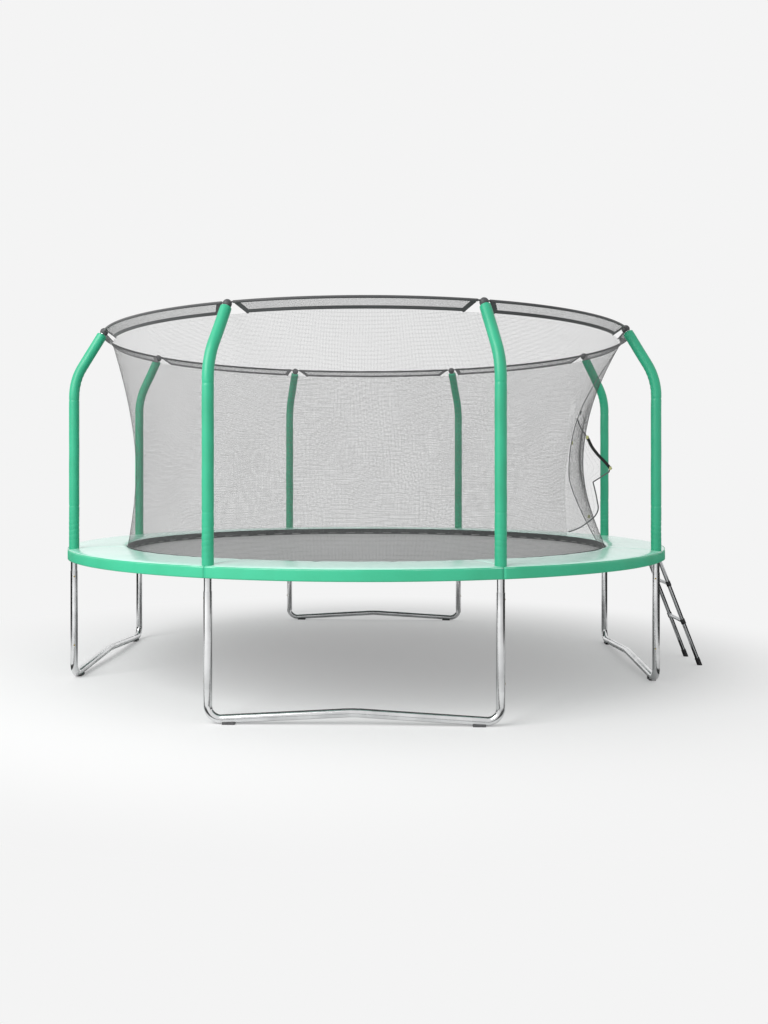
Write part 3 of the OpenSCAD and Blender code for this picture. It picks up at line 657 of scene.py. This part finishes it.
sleeve_cloth = coated_cloth("sleeve cloth", sleeve_green, sleeve_deep, 0.42, 0.15, 1.45, 0.2, sleeve_run)
for k in range(8):
    surface = turned(sleeve_surface(k), first_pole + k * pole_step)
    rows, cols = surface.shape[:2]
    wall = grid_faces(rows, cols, wrap_rows=True, wrap_cols=True)
    sleeve = put_mesh(f"pole_sleeve_cloth_{k + 1}", surface, wall, sleeve_cloth)
    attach(sleeve, "frame")
    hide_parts(f"pole_sleeve_{k + 1}")

# Caps and ring
# Dark moulded plastic balls close the poles' tips.
# They hold a ring of fibreglass rod, from which the bands and the net hang.
cap_plastic = moulded("cap plastic", (0.045, 0.045, 0.048), (0.075, 0.075, 0.08), 0.45, 900)
dress(cap_plastic, "pole_caps")
rod_glass, shader = new_finish("fibreglass rod", (0.04, 0.04, 0.043), 0.35)
fibres = pattern(shader, "Noise", 300, Detail=3)
vary_colour(shader, fibres, (0.025, 0.025, 0.027), (0.07, 0.07, 0.074))
raise_surface(shader, fibres, 0.0003, 0.3)
dress(rod_glass, "top_ring")

# Top bands
# Between each two poles a sloped band of mesh is sewn to a webbing sleeve on the rod, and to webbing along
# its foot that carries the net. Slanted webbing binds its ends and leaves the caps bare.
ring_r = 1.913
ring_z = 1.532
band_w = 0.084
band_slant = math.radians(41.6)
band_ends = (0.040, 0.097)
band_steps = 49
tunnel_r = 0.0084
tunnel_t = 0.0006
tunnel_sides = 12
band_webbing_w = 0.022
band_webbing_t = 0.0045
bind_w = 0.03
bind_t = 0.0042
bind_from = 0.004
bind_steps = 9
band_margin = 0.01
band_yarn_gap = 0.0046
band_yarn_from = 0.011
band_yarn_w = 0.0011
band_yarn_t = 0.0006
cross_yarn_w = 0.0008
cross_from = 0.006
cross_count = 200
band_grey = (0.04, 0.04, 0.042)


def on_band(down, angle):
    """Points of a cone at a distance down from the rod, at an angle."""
    return polar(ring_r - down * math.cos(band_slant), angle, ring_z - down * math.sin(band_slant))


def band_out(angle):
    """The cone's outward direction at an angle."""
    return polar(-math.sin(band_slant), angle, math.cos(band_slant))


def band_angle(down, k, share):
    """Angle at a share of a band's length, between ends that lean apart on the way up."""
    gap = (band_ends[0] + (band_ends[1] - band_ends[0]) * down / band_w) / ring_r
    start = first_pole + k * pole_step + gap
    return start + (pole_step - 2 * gap) * share


band_webbing = woven("band webbing", band_grey, (0.065, 0.065, 0.068), 0.7, 0.004, 0.0006)
band_yarn, _ = new_finish("band yarn", (0.12, 0.12, 0.122), 0.7)
share = np.linspace(0, 1, band_steps)
mesh_foot = band_w - band_webbing_w
for k in range(8):
    low = np.array([[band_w - band_webbing_w / 2]])
    foot_angle = band_angle(low, k, share[None, :])
    foot = strips(on_band(low, foot_angle), band_out(foot_angle), band_webbing_w, band_webbing_t)
    down = np.linspace(bind_from, band_w, bind_steps)[None, :]
    end_angle = np.concatenate([band_angle(down, k, band_margin), band_angle(down, k, 1 - band_margin)])
    bind = strips(on_band(down, end_angle), band_out(end_angle), bind_w, bind_t)
    top_angle = band_angle(0.0, k, share)
    turn = full_turn(tunnel_sides)
    walls = []
    for radius, angles in ((tunnel_r, top_angle), (tunnel_r - tunnel_t, top_angle[::-1])):
        walls.append(ringed(ring_r + radius * np.cos(turn), ring_z + radius * np.sin(turn), angles))
    tunnel = np.concatenate(walls).reshape(-1, 3)
    tunnel_part = (tunnel, grid_faces(2 * band_steps, tunnel_sides, wrap_rows=True, wrap_cols=True))
    bands = put_mesh(f"top_band_webbing_{k + 1}", *joined(foot, bind, tunnel_part), band_webbing)
    rows_down = np.arange(band_yarn_from, mesh_foot, band_yarn_gap)[:, None]
    row_angle = band_angle(rows_down, k, share[None, :])
    rows = strips(on_band(rows_down, row_angle), band_out(row_angle), band_yarn_w, band_yarn_t)
    cross_share = np.linspace(band_margin, 1 - band_margin, cross_count)[:, None]
    cross_down = np.linspace(cross_from, mesh_foot, 4)[None, :]
    cross_angle = band_angle(cross_down, k, cross_share)
    crosses = strips(on_band(cross_down, cross_angle), band_out(cross_angle), cross_yarn_w, band_yarn_t)
    mesh_band = put_mesh(f"top_band_mesh_{k + 1}", *joined(rows, crosses), band_yarn, closed=False)
    for piece in (bands, mesh_band):
        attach(piece, "frame")
    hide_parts("top_bands")

# Net
# A knitted grey mesh of polyester yarn, with painted light on its outer side and painted shade on its
# inner side. It hangs from the bands, is drawn in to a waist, and flares to the hem that is laced to the
# mat.
net_low = 0.0484
net_top = 1.474
net_top_r = 1.8502
net_foot_r = 1.743
waist_r = 1.688
waist_z = 0.585
waist_power = 1.7
slack_most = 0.115
slack_middle = math.radians(-13)
slack_reach = math.radians(30)
yarn_gap = 0.0072
yarn_w = 0.00105
yarn_t = 0.00015
first_row = 0.003
row_steps = 25
row_vary = 0.15
row_vary_step = 2.1
column_gap = 0.0078
column_share = 0.75
column_steps = 17
slope_step = 0.001
yarn_stray = 0.007
stray_waves = 16
stray_rise = 6.0
# One grey yarn: its pale outer colour is painted light and its dark inner colour is painted shade.
yarn_outer_painted_light = (0.16, 0.16, 0.161)
yarn_inner_painted_shade = (0.035, 0.035, 0.035)


def net_radius(z):
    """Radius at a height: least at the waist, growing by a power of the distance from it."""
    up = np.clip((z - waist_z) / (net_top - waist_z), 0, None) ** waist_power
    down = np.clip((waist_z - z) / (waist_z - net_low), 0, None) ** waist_power
    return waist_r + (net_top_r - waist_r) * up + (net_foot_r - waist_r) * down


def slack(angle, z):
    """How far the net falls inwards before the open door: a bump in angle, half a sine wave in height."""
    aside = (angle - slack_middle + math.pi) % (2 * math.pi) - math.pi
    beside = np.cos(np.clip(aside / slack_reach, -1, 1) * math.pi / 2) ** 2
    up = np.clip((z - net_low) / (net_top - net_low), 0, 1)
    return slack_most * beside * np.sin(math.pi * up)


def on_net(angle, z, out=0.0):
    """Points of the net at angles and heights, pushed out by a distance."""
    return polar(net_radius(z) - slack(angle, z) + out, angle, z)


def net_out(angle, z):
    """The net's outward direction, square to its slope at a height."""
    slope = (net_radius(z + slope_step) - net_radius(z - slope_step)) / (2 * slope_step)
    size = np.sqrt(1 + slope**2)
    return np.stack([np.cos(angle) / size, np.sin(angle) / size, -slope / size + 0 * angle], axis=-1)


def stray(angle, z):
    """How far a yarn wanders from its line: slow slanting waves, fading out at the net's top and foot."""
    up = np.clip((z - net_low) / (net_top - net_low), 0, 1)
    return yarn_stray * np.sin(stray_waves * angle + stray_rise * z) * np.sin(math.pi * up)


def net_lines(row_angle, row_z, column_angle, column_z):
    """The two line sets of a net panel: rows that wander in height and columns that wander sideways."""
    row_z = row_z + stray(row_angle, row_z)
    column_angle = column_angle + stray(column_angle, column_z) / waist_r
    return (
        (on_net(row_angle, row_z), net_out(row_angle, row_z), row_thick),
        (on_net(column_angle, column_z), net_out(column_angle, column_z), column_share),
    )


def yarn(name, body):
    """Polyester yarn: an even grey with slubs of lighter fibre."""
    material, shader = new_finish(name, body, 0.75)
    slubs = pattern(shader, "Noise", 60, Detail=3)
    vary_colour(shader, slubs, [0.8 * c for c in body], [1.15 * c for c in body])
    return material


outer_yarn_painted_light = yarn("outer yarn painted light", yarn_outer_painted_light)
inner_yarn_painted_shade = yarn("inner yarn painted shade", yarn_inner_painted_shade)


def net_piece(name, *line_sets):
    """Yarns along sets of lines as one mesh, with painted light on the outer side and painted shade on the
    others.
    """
    parts = [strips(lines, out, yarn_w * thick, yarn_t) for lines, out, thick in line_sets]
    slots = []
    for (lines, _, _), (_, faces) in zip(line_sets, parts):
        ends = 2 * len(lines)
        slots.append(np.resize([0, 1, 1, 1], len(faces) - ends))
        slots.append(np.ones(ends))
    points, faces = joined(*parts)
    return put_mesh(name, points, faces, outer_yarn_painted_light, inner_yarn_painted_shade, closed=False, slots=np.concatenate(slots))


def declare_net(piece, node):
    """Sets a net panel's points where they stand and hides the CAD node that it replaces."""
    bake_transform(piece)
    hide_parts(node)


rows = np.arange(net_low + first_row, net_top, yarn_gap)
row_thick = (1 + row_vary * np.sin(np.arange(len(rows)) * row_vary_step))[:, None, None]
net_share = np.linspace(0, 1, row_steps)
heights = np.linspace(net_low, net_top, column_steps)
columns = np.linspace(0, 1, int(pole_step * waist_r / column_gap))
for k in range(7):
    start = first_pole + k * pole_step
    row_angle = start + pole_step * net_share[None, :]
    row_z = rows[:, None] + 0 * row_angle
    row_angle = row_angle + 0 * row_z
    column_angle = start + pole_step * columns[:, None] + 0 * heights[None, :]
    column_z = heights[None, :] + 0 * column_angle
    panel = net_piece(f"net_mesh_{k + 1}", *net_lines(row_angle, row_z, column_angle, column_z))
    declare_net(panel, f"net_panel_{k + 1}")

# Door panels
# The eighth panel is cut along a zip that runs in a C. The piece in front of the zip keeps its shape, and
# the strip behind it is closed down to the slider and folds outwards below it.
zip_top_span = 0.690
zip_low_span = 0.420
zip_top_power = 3.7
zip_low_power = 1.6
zip_mid = 0.545
zip_inset = 0.124
zip_far = waist_r * math.sin(first_pole) - zip_inset
door_top = 1.015
door_low = 0.070
fold_foot_y = 0.6506
fold_head_y = 0.5045
search_steps = 900
least_steps = 8


def zip_side(z):
    """Y of the zip at a height: furthest at its middle, falling off by powers of the distance from it."""
    up = np.clip((z - zip_mid) / (net_top - zip_mid), 0, None) ** zip_top_power
    down = np.clip((zip_mid - z) / (zip_mid - net_low), 0, None) ** zip_low_power
    return zip_far - zip_top_span * up - zip_low_span * down


def angle_at(y, z):
    """Angle of the net's point at a height whose Y is given."""
    return np.arcsin(y / net_radius(z))


def zip_angle(z):
    """Angle of the zip at a height."""
    return angle_at(zip_side(z), z)


def fold_side(z):
    """Y of the far strip's edge: straight up to the zip's open end, then along the zip."""
    share = np.clip((z - door_low) / (door_top - door_low), 0, 1)
    straight = fold_foot_y + (fold_head_y - fold_foot_y) * share
    return np.where(z > door_top, zip_side(z), straight)


def between(low_angle, high_angle):
    """Rows and columns of yarn between two edges that are given as angle by height.

    A column runs where both edges leave room for it, from its lowest to its highest such height.
    """
    row_z = rows[:, None] + 0 * net_share[None, :]
    low, high = low_angle(rows)[:, None], high_angle(rows)[:, None]
    row_angle = low + (high - low) * net_share[None, :]
    fine = np.linspace(net_low, net_top, search_steps)
    column = -first_pole + pole_step * columns[:, None]
    open_here = (column > low_angle(fine)[None, :]) & (column < high_angle(fine)[None, :])
    kept = open_here.sum(axis=1) > least_steps
    first = fine[open_here.argmax(axis=1)][kept, None]
    last = fine[len(fine) - 1 - open_here[:, ::-1].argmax(axis=1)][kept, None]
    column_z = first + (last - first) * np.linspace(0, 1, column_steps)[None, :]
    column_angle = column[kept] + 0 * column_z
    return net_lines(row_angle, row_z, column_angle, column_z)


near_panel = net_piece("door_mesh", *between(lambda z: -first_pole + 0 * z, zip_angle))
declare_net(near_panel, "door_panel")
far_panel = net_piece(
    "door_side_mesh", *between(lambda z: angle_at(fold_side(z), z), lambda z: first_pole + 0 * z)
)
declare_net(far_panel, "door_side_panel")

# Hem
# A band of dark woven webbing runs along the net's foot and stands on the mat's edge.
# Pale elastic cord laces it down to the mat.
hem_r = net_foot_r
hem_low = 0.002
hem_mid = 0.025
hem_top = 0.048
hem_t = 0.0035
hem_steps = 384
lacing_count = 64
lace_steps = 7
lace_arc = 0.045
lace_height = 0.009
lace_gap = 0.001
lace_bow = 0.003
lace_w = 0.006
lace_t = 0.002
lacing_pale = (0.26, 0.26, 0.255)

hem_profile_r = hem_r + hem_t / 2 * np.array([-1, -0.7, -1, 1, 0.7, 1])
hem_profile_z = np.array([hem_low, hem_mid, hem_top, hem_top, hem_mid, hem_low])
hem_wall = grid_faces(hem_steps, 6, wrap_rows=True, wrap_cols=True)
hem_points = ringed(hem_profile_r, hem_profile_z, full_turn(hem_steps))
hem = put_mesh("net_hem_webbing", hem_points, hem_wall, webbing_dark)
lacing_cord = yarn("lacing cord", lacing_pale)
lace_angle = full_turn(lacing_count)[:, None] + np.linspace(0, lace_arc, lace_steps)
lace_r = hem_r - hem_t / 2 - lace_gap - lace_bow * np.sin(np.linspace(0, math.pi, lace_steps))
laces = strips(polar(lace_r, lace_angle, lace_height), polar(-1, lace_angle, 0), lace_w, lace_t)
lacing = put_mesh("net_lacing", *laces, lacing_cord, closed=False)
for piece in (hem, lacing):
    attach(piece, "mat")
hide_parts("net_hem")

# Zip
# A woven tape with a row of moulded teeth runs along the door's cut edge. Its slider stands at the upper
# end of the opening, and lime clips on the tape mark where the flap is hooked back.
tape_w = 0.012
tape_t = 0.001
tape_out = 0.0022
zip_steps = 140
tooth_count = 300
tooth_margin = 0.005
tooth_w = 0.0055
tooth_t = 0.0018
tooth_long = 0.0025
tooth_lift = 0.0014
tape_grey = (0.1, 0.1, 0.103)

zip_z = np.linspace(net_low, net_top, zip_steps)
zip_at = zip_angle(zip_z)
tape_line = on_net(zip_at, zip_z, tape_out)[None]
tape_cloth = woven("zip tape", tape_grey, (0.15, 0.15, 0.155), 0.75, 0.003, 0.0003)
tooth_plastic = moulded("zip teeth", (0.05, 0.05, 0.053), (0.09, 0.09, 0.095), 0.4, 900)
tape = strips(tape_line, net_out(zip_at, zip_z)[None], tape_w, tape_t)
tooth_z = np.linspace(net_low + tooth_margin, net_top - tooth_margin, tooth_count)
tooth_ends = [on_net(zip_angle(z), z, tape_out + tooth_lift) for z in (tooth_z, tooth_z + tooth_long)]
tooth_out = net_out(zip_angle(tooth_z), tooth_z)[:, None]
teeth = strips(np.stack(tooth_ends, axis=1), tooth_out, tooth_w, tooth_t)
zip_piece = put_mesh("zip", *tape, tape_cloth, closed=False)
zip_teeth = put_mesh("zip_teeth", *teeth, tooth_plastic, closed=False)
for piece in (zip_piece, zip_teeth):
    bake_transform(piece)
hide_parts("zip_tape")
dress(tooth_plastic, "zip_slider")
clip_lime = moulded("lime plastic", (0.5, 0.5, 0.2), (0.62, 0.6, 0.3), 0.35, 900)
dress(clip_lime, "edge_clip", "flap_clips")

# Door flap
# The strip of net behind the zip is pulled outwards along a straight fold. Zip tape binds its free edge,
# and a black elastic strap along the edge's upper part holds it open on a hook.
fold_foot = np.array([1.6195, fold_foot_y, door_low])
fold_head = np.array([1.6665, fold_head_y, door_top])
flap_low = 0.014
flap_high = 0.943
flap_low_up = np.array([0.012, 0.034, 0.104, 0.156, 0.207, 0.288, 0.434])
flap_low_out = np.array([0.003, 0.057, 0.157, 0.209, 0.229, 0.215, 0.171])
flap_high_up = np.array([0.555, 0.601, 0.648, 0.718, 0.796, 0.851, 0.925, 0.945])
flap_high_out = np.array([0.298, 0.254, 0.202, 0.140, 0.094, 0.050, 0.012, 0.003])
flap_tip = np.array([0.522, 0.292])
curve_steps = 80
flap_across = 9
flap_steps = 90
flap_bulge = 0.012
strap_low = 0.555
strap_high = 0.796
strap_past = 0.004
strap_steps = 40
strap_lift = 0.004
strap_w = 0.024
strap_t = 0.005
hook_w = 0.008
hook_t = 0.004
hook_reach = 0.016
hook_lift = 0.001
edge_tape_w = 0.01
edge_tape_t = 0.002
edge_lift = 0.001
edge_steps = 160

fold_length = np.linalg.norm(fold_head - fold_foot)
fold_way = (fold_head - fold_foot) / fold_length
flap_way = np.array([1.0, 0, 0]) - fold_way[0] * fold_way
flap_way /= np.linalg.norm(flap_way)
flap_normal = np.cross(flap_way, fold_way)


def fold_edge(up):
    """How far along X the net lies from the fold: the net's X at that height and Y, less the fold's own."""
    point = fold_foot + up[..., None] * fold_way
    x, y, z = np.moveaxis(point, -1, 0)
    return np.sqrt(np.maximum(net_radius(z) ** 2 - y**2, 0)) - x


def smooth_edge(ups, outs):
    """Close points of a curve through given ones: cubic pieces that share slopes where they meet."""
    slopes = np.gradient(outs, ups)
    at = np.linspace(ups[0], ups[-1], curve_steps)
    i = np.clip(np.searchsorted(ups, at) - 1, 0, len(ups) - 2)
    step = ups[i + 1] - ups[i]
    t = (at - ups[i]) / step
    ends = outs[i] * (1 + 2 * t) * (1 - t) ** 2 + outs[i + 1] * t**2 * (3 - 2 * t)
    return at, ends + step * (slopes[i] * t * (1 - t) ** 2 - slopes[i + 1] * t**2 * (1 - t))


low_edge = smooth_edge(flap_low_up, flap_low_out)
high_edge = smooth_edge(flap_high_up, flap_high_out)
flap_edge_up, flap_edge_out = np.concatenate([low_edge, flap_tip[:, None], high_edge], axis=1)


def on_flap(up, share):
    """Points of the flap: from the net's surface out to the free edge, bulging sideways between them."""
    edge = np.interp(up, flap_edge_up, flap_edge_out)
    root = fold_edge(up)
    reach = root + (edge - root) * share
    bulge = flap_bulge * np.sin(math.pi * share) * np.sin(math.pi * up / fold_length)
    place = fold_foot + up[..., None] * fold_way + reach[..., None] * flap_way
    return place + bulge[..., None] * flap_normal


flap_ups = np.arange(flap_low, flap_high, yarn_gap)[:, None]
flap_share = np.linspace(0, 1, flap_across)[None, :]
flap_rows = on_flap(flap_ups + 0 * flap_share, flap_share + 0 * flap_ups)
column_ups = np.linspace(flap_low, flap_high, flap_steps)[None, :]
flap_columns = on_flap(column_ups + 0 * flap_share.T, flap_share.T + 0 * column_ups)
flap = net_piece(
    "door_flap_mesh",
    (flap_rows, np.broadcast_to(flap_normal, flap_rows.shape), 1.0),
    (flap_columns, np.broadcast_to(flap_normal, flap_columns.shape), column_share),
)
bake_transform(flap)
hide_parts("door_flap")

edge_up = np.linspace(flap_low, flap_high, edge_steps)
edge_line = on_flap(edge_up, np.ones(edge_steps))[None] + edge_lift * flap_normal
edge_parts = strips(edge_line, flap_normal, edge_tape_w, edge_tape_t)
edge_tape = put_mesh("flap_edge_tape", *edge_parts, tape_cloth, closed=False)
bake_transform(edge_tape)

strap_black = woven("strap webbing", (0.004,) * 3, (0.008,) * 3, 0.6, 0.003, 0.0005, 0.02)
strap_up = np.linspace(strap_low - strap_past, strap_high + strap_past, strap_steps)
strap_line = on_flap(strap_up, np.ones(strap_steps))[None] + strap_lift * flap_normal
hook_lines = strap_line[0, [0, -1], None] + np.array([0, 0.5, 1])[:, None] * hook_reach * flap_way
strap_band = strips(strap_line, flap_normal, strap_w, strap_t)
hooks = strips(hook_lines + hook_lift * flap_normal, flap_normal, hook_w, hook_t)
strap = put_mesh("flap_strap_webbing", *joined(strap_band, hooks), strap_black)
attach(strap, "door")
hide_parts("flap_strap")

# Ladder
# Two galvanised tubes with hooks over the rail, two round steps, black clips at the steps' ends and black
# caps on the feet.
ladder_steel = galvanised("ladder tube", (0.58, 0.59, 0.6), (0.42, 0.43, 0.44))
dress(ladder_steel, "ladder_rail_left", "ladder_rail_right", "ladder_steps")
ladder_plastic = moulded("ladder plastic", (0.016, 0.016, 0.018), (0.04, 0.04, 0.042), 0.5, 800)
dress(ladder_plastic, "ladder_clips", "ladder_feet")

# Studio
# A pale floor that meets a background of the same grey, one large soft lamp above the camera's left
# shoulder, even light from all round, and dark cards that only show as streaks in the bright tubes.
ground = -0.835
ground_size = 60
background_grey = (0.905, 0.905, 0.905)
floor_grey = (0.8, 0.8, 0.8)
floor_lift = 0.34
sky_strength = 0.75
fade_from = 2.3
fade_to = 4.0
lamp_watts = 560
lamp_size = 5
lamp_place = (-4.5, -6.0, 4.6)
lamp_turn = (math.radians(58), 0, math.radians(-37))
card_x = 3.4
card_half = 2.5
card_long = 4.0
card_foot = ground + 0.005
floor_ring = (2.2, 2.45)
floor_ring_z = ground + 0.003
floor_ring_steps = 96

floor_finish, shader = new_finish("studio floor", floor_grey, 0.9)
feed(shader, {"Specular IOR Level": 0.0})
tree = floor_finish.node_tree
far_glow = tree.nodes.new("ShaderNodeEmission")
feed(far_glow, {"Color": (*background_grey, 1)})
place = tree.nodes.new("ShaderNodeTexCoord")
distance = tree.nodes.new("ShaderNodeVectorMath")
distance.operation = "LENGTH"
fade = tree.nodes.new("ShaderNodeMapRange")
fade.interpolation_type = "SMOOTHSTEP"
feed(fade, {"From Min": fade_from, "From Max": fade_to, "To Min": floor_lift})
ray = tree.nodes.new("ShaderNodeLightPath")
shown = tree.nodes.new("ShaderNodeMath")
shown.operation = "MULTIPLY"
blend_floor = tree.nodes.new("ShaderNodeMixShader")
for source, target in (
    (place.outputs["Object"], distance.inputs[0]),
    (distance.outputs["Value"], fade.inputs["Value"]),
    (fade.outputs["Result"], shown.inputs[0]),
    (ray.outputs["Is Camera Ray"], shown.inputs[1]),
    (shown.outputs["Value"], blend_floor.inputs["Fac"]),
    (shader.outputs["BSDF"], blend_floor.inputs[1]),
    (far_glow.outputs["Emission"], blend_floor.inputs[2]),
    (blend_floor.outputs["Shader"], tree.nodes["Material Output"].inputs["Surface"]),
):
    tree.links.new(source, target)
corners = ground_size / 2 * np.array([[-1, -1, 0], [1, -1, 0], [1, 1, 0], [-1, 1, 0]]) + (0, 0, ground)
studio_floor = put_mesh("studio_floor", corners, [[0, 1, 2, 3]], floor_finish, closed=False)

card_finish, _ = new_finish("dark card", (0.03, 0.03, 0.03), 0.9)
cards = []
for side, front in ((-1, -card_half), (1, -card_long)):
    card_corners = np.array([
        [side * card_x, front, card_foot], [side * card_x, card_half, card_foot],
        [side * card_x, card_half, 0], [side * card_x, front, 0],
    ])
    cards.append(put_mesh(f"dark_card_{side}", card_corners, [[0, 1, 2, 3]], card_finish, closed=False))
ring_points = ringed(np.array(floor_ring), floor_ring_z, full_turn(floor_ring_steps))
ring_wall = grid_faces(floor_ring_steps, 2, wrap_rows=True)
cards.append(put_mesh("dark_ring", ring_points, ring_wall, card_finish, closed=False))
for card in cards:
    card.visible_camera = False
    card.visible_diffuse = False
    card.visible_shadow = False

world = bpy.data.worlds.new("studio")
bpy.context.scene.world = world
world.use_nodes = True
tree = world.node_tree
sky = tree.nodes["Background"]
feed(sky, {"Color": (1, 1, 1, 1), "Strength": sky_strength})
backdrop = tree.nodes.new("ShaderNodeBackground")
feed(backdrop, {"Color": (*background_grey, 1)})
ray = tree.nodes.new("ShaderNodeLightPath")
seen = tree.nodes.new("ShaderNodeMath")
seen.operation = "MAXIMUM"
seen_through = tree.nodes.new("ShaderNodeMath")
seen_through.operation = "MAXIMUM"
choose = tree.nodes.new("ShaderNodeMixShader")
for source, target in (
    (ray.outputs["Is Camera Ray"], seen.inputs[0]),
    (ray.outputs["Is Glossy Ray"], seen.inputs[1]),
    (seen.outputs["Value"], seen_through.inputs[0]),
    (ray.outputs["Is Transmission Ray"], seen_through.inputs[1]),
    (seen_through.outputs["Value"], choose.inputs["Fac"]),
    (sky.outputs["Background"], choose.inputs[1]),
    (backdrop.outputs["Background"], choose.inputs[2]),
    (choose.outputs["Shader"], tree.nodes["World Output"].inputs["Surface"]),
):
    tree.links.new(source, target)

lamp_data = bpy.data.lights.new("soft_lamp", "AREA")
lamp_data.energy = lamp_watts
lamp_data.size = lamp_size
lamp = bpy.data.objects.new("soft_lamp", lamp_data)
lamp.location = lamp_place
lamp.rotation_euler = lamp_turn
bpy.context.collection.objects.link(lamp)

bpy.context.scene.view_settings.view_transform = "Standard"
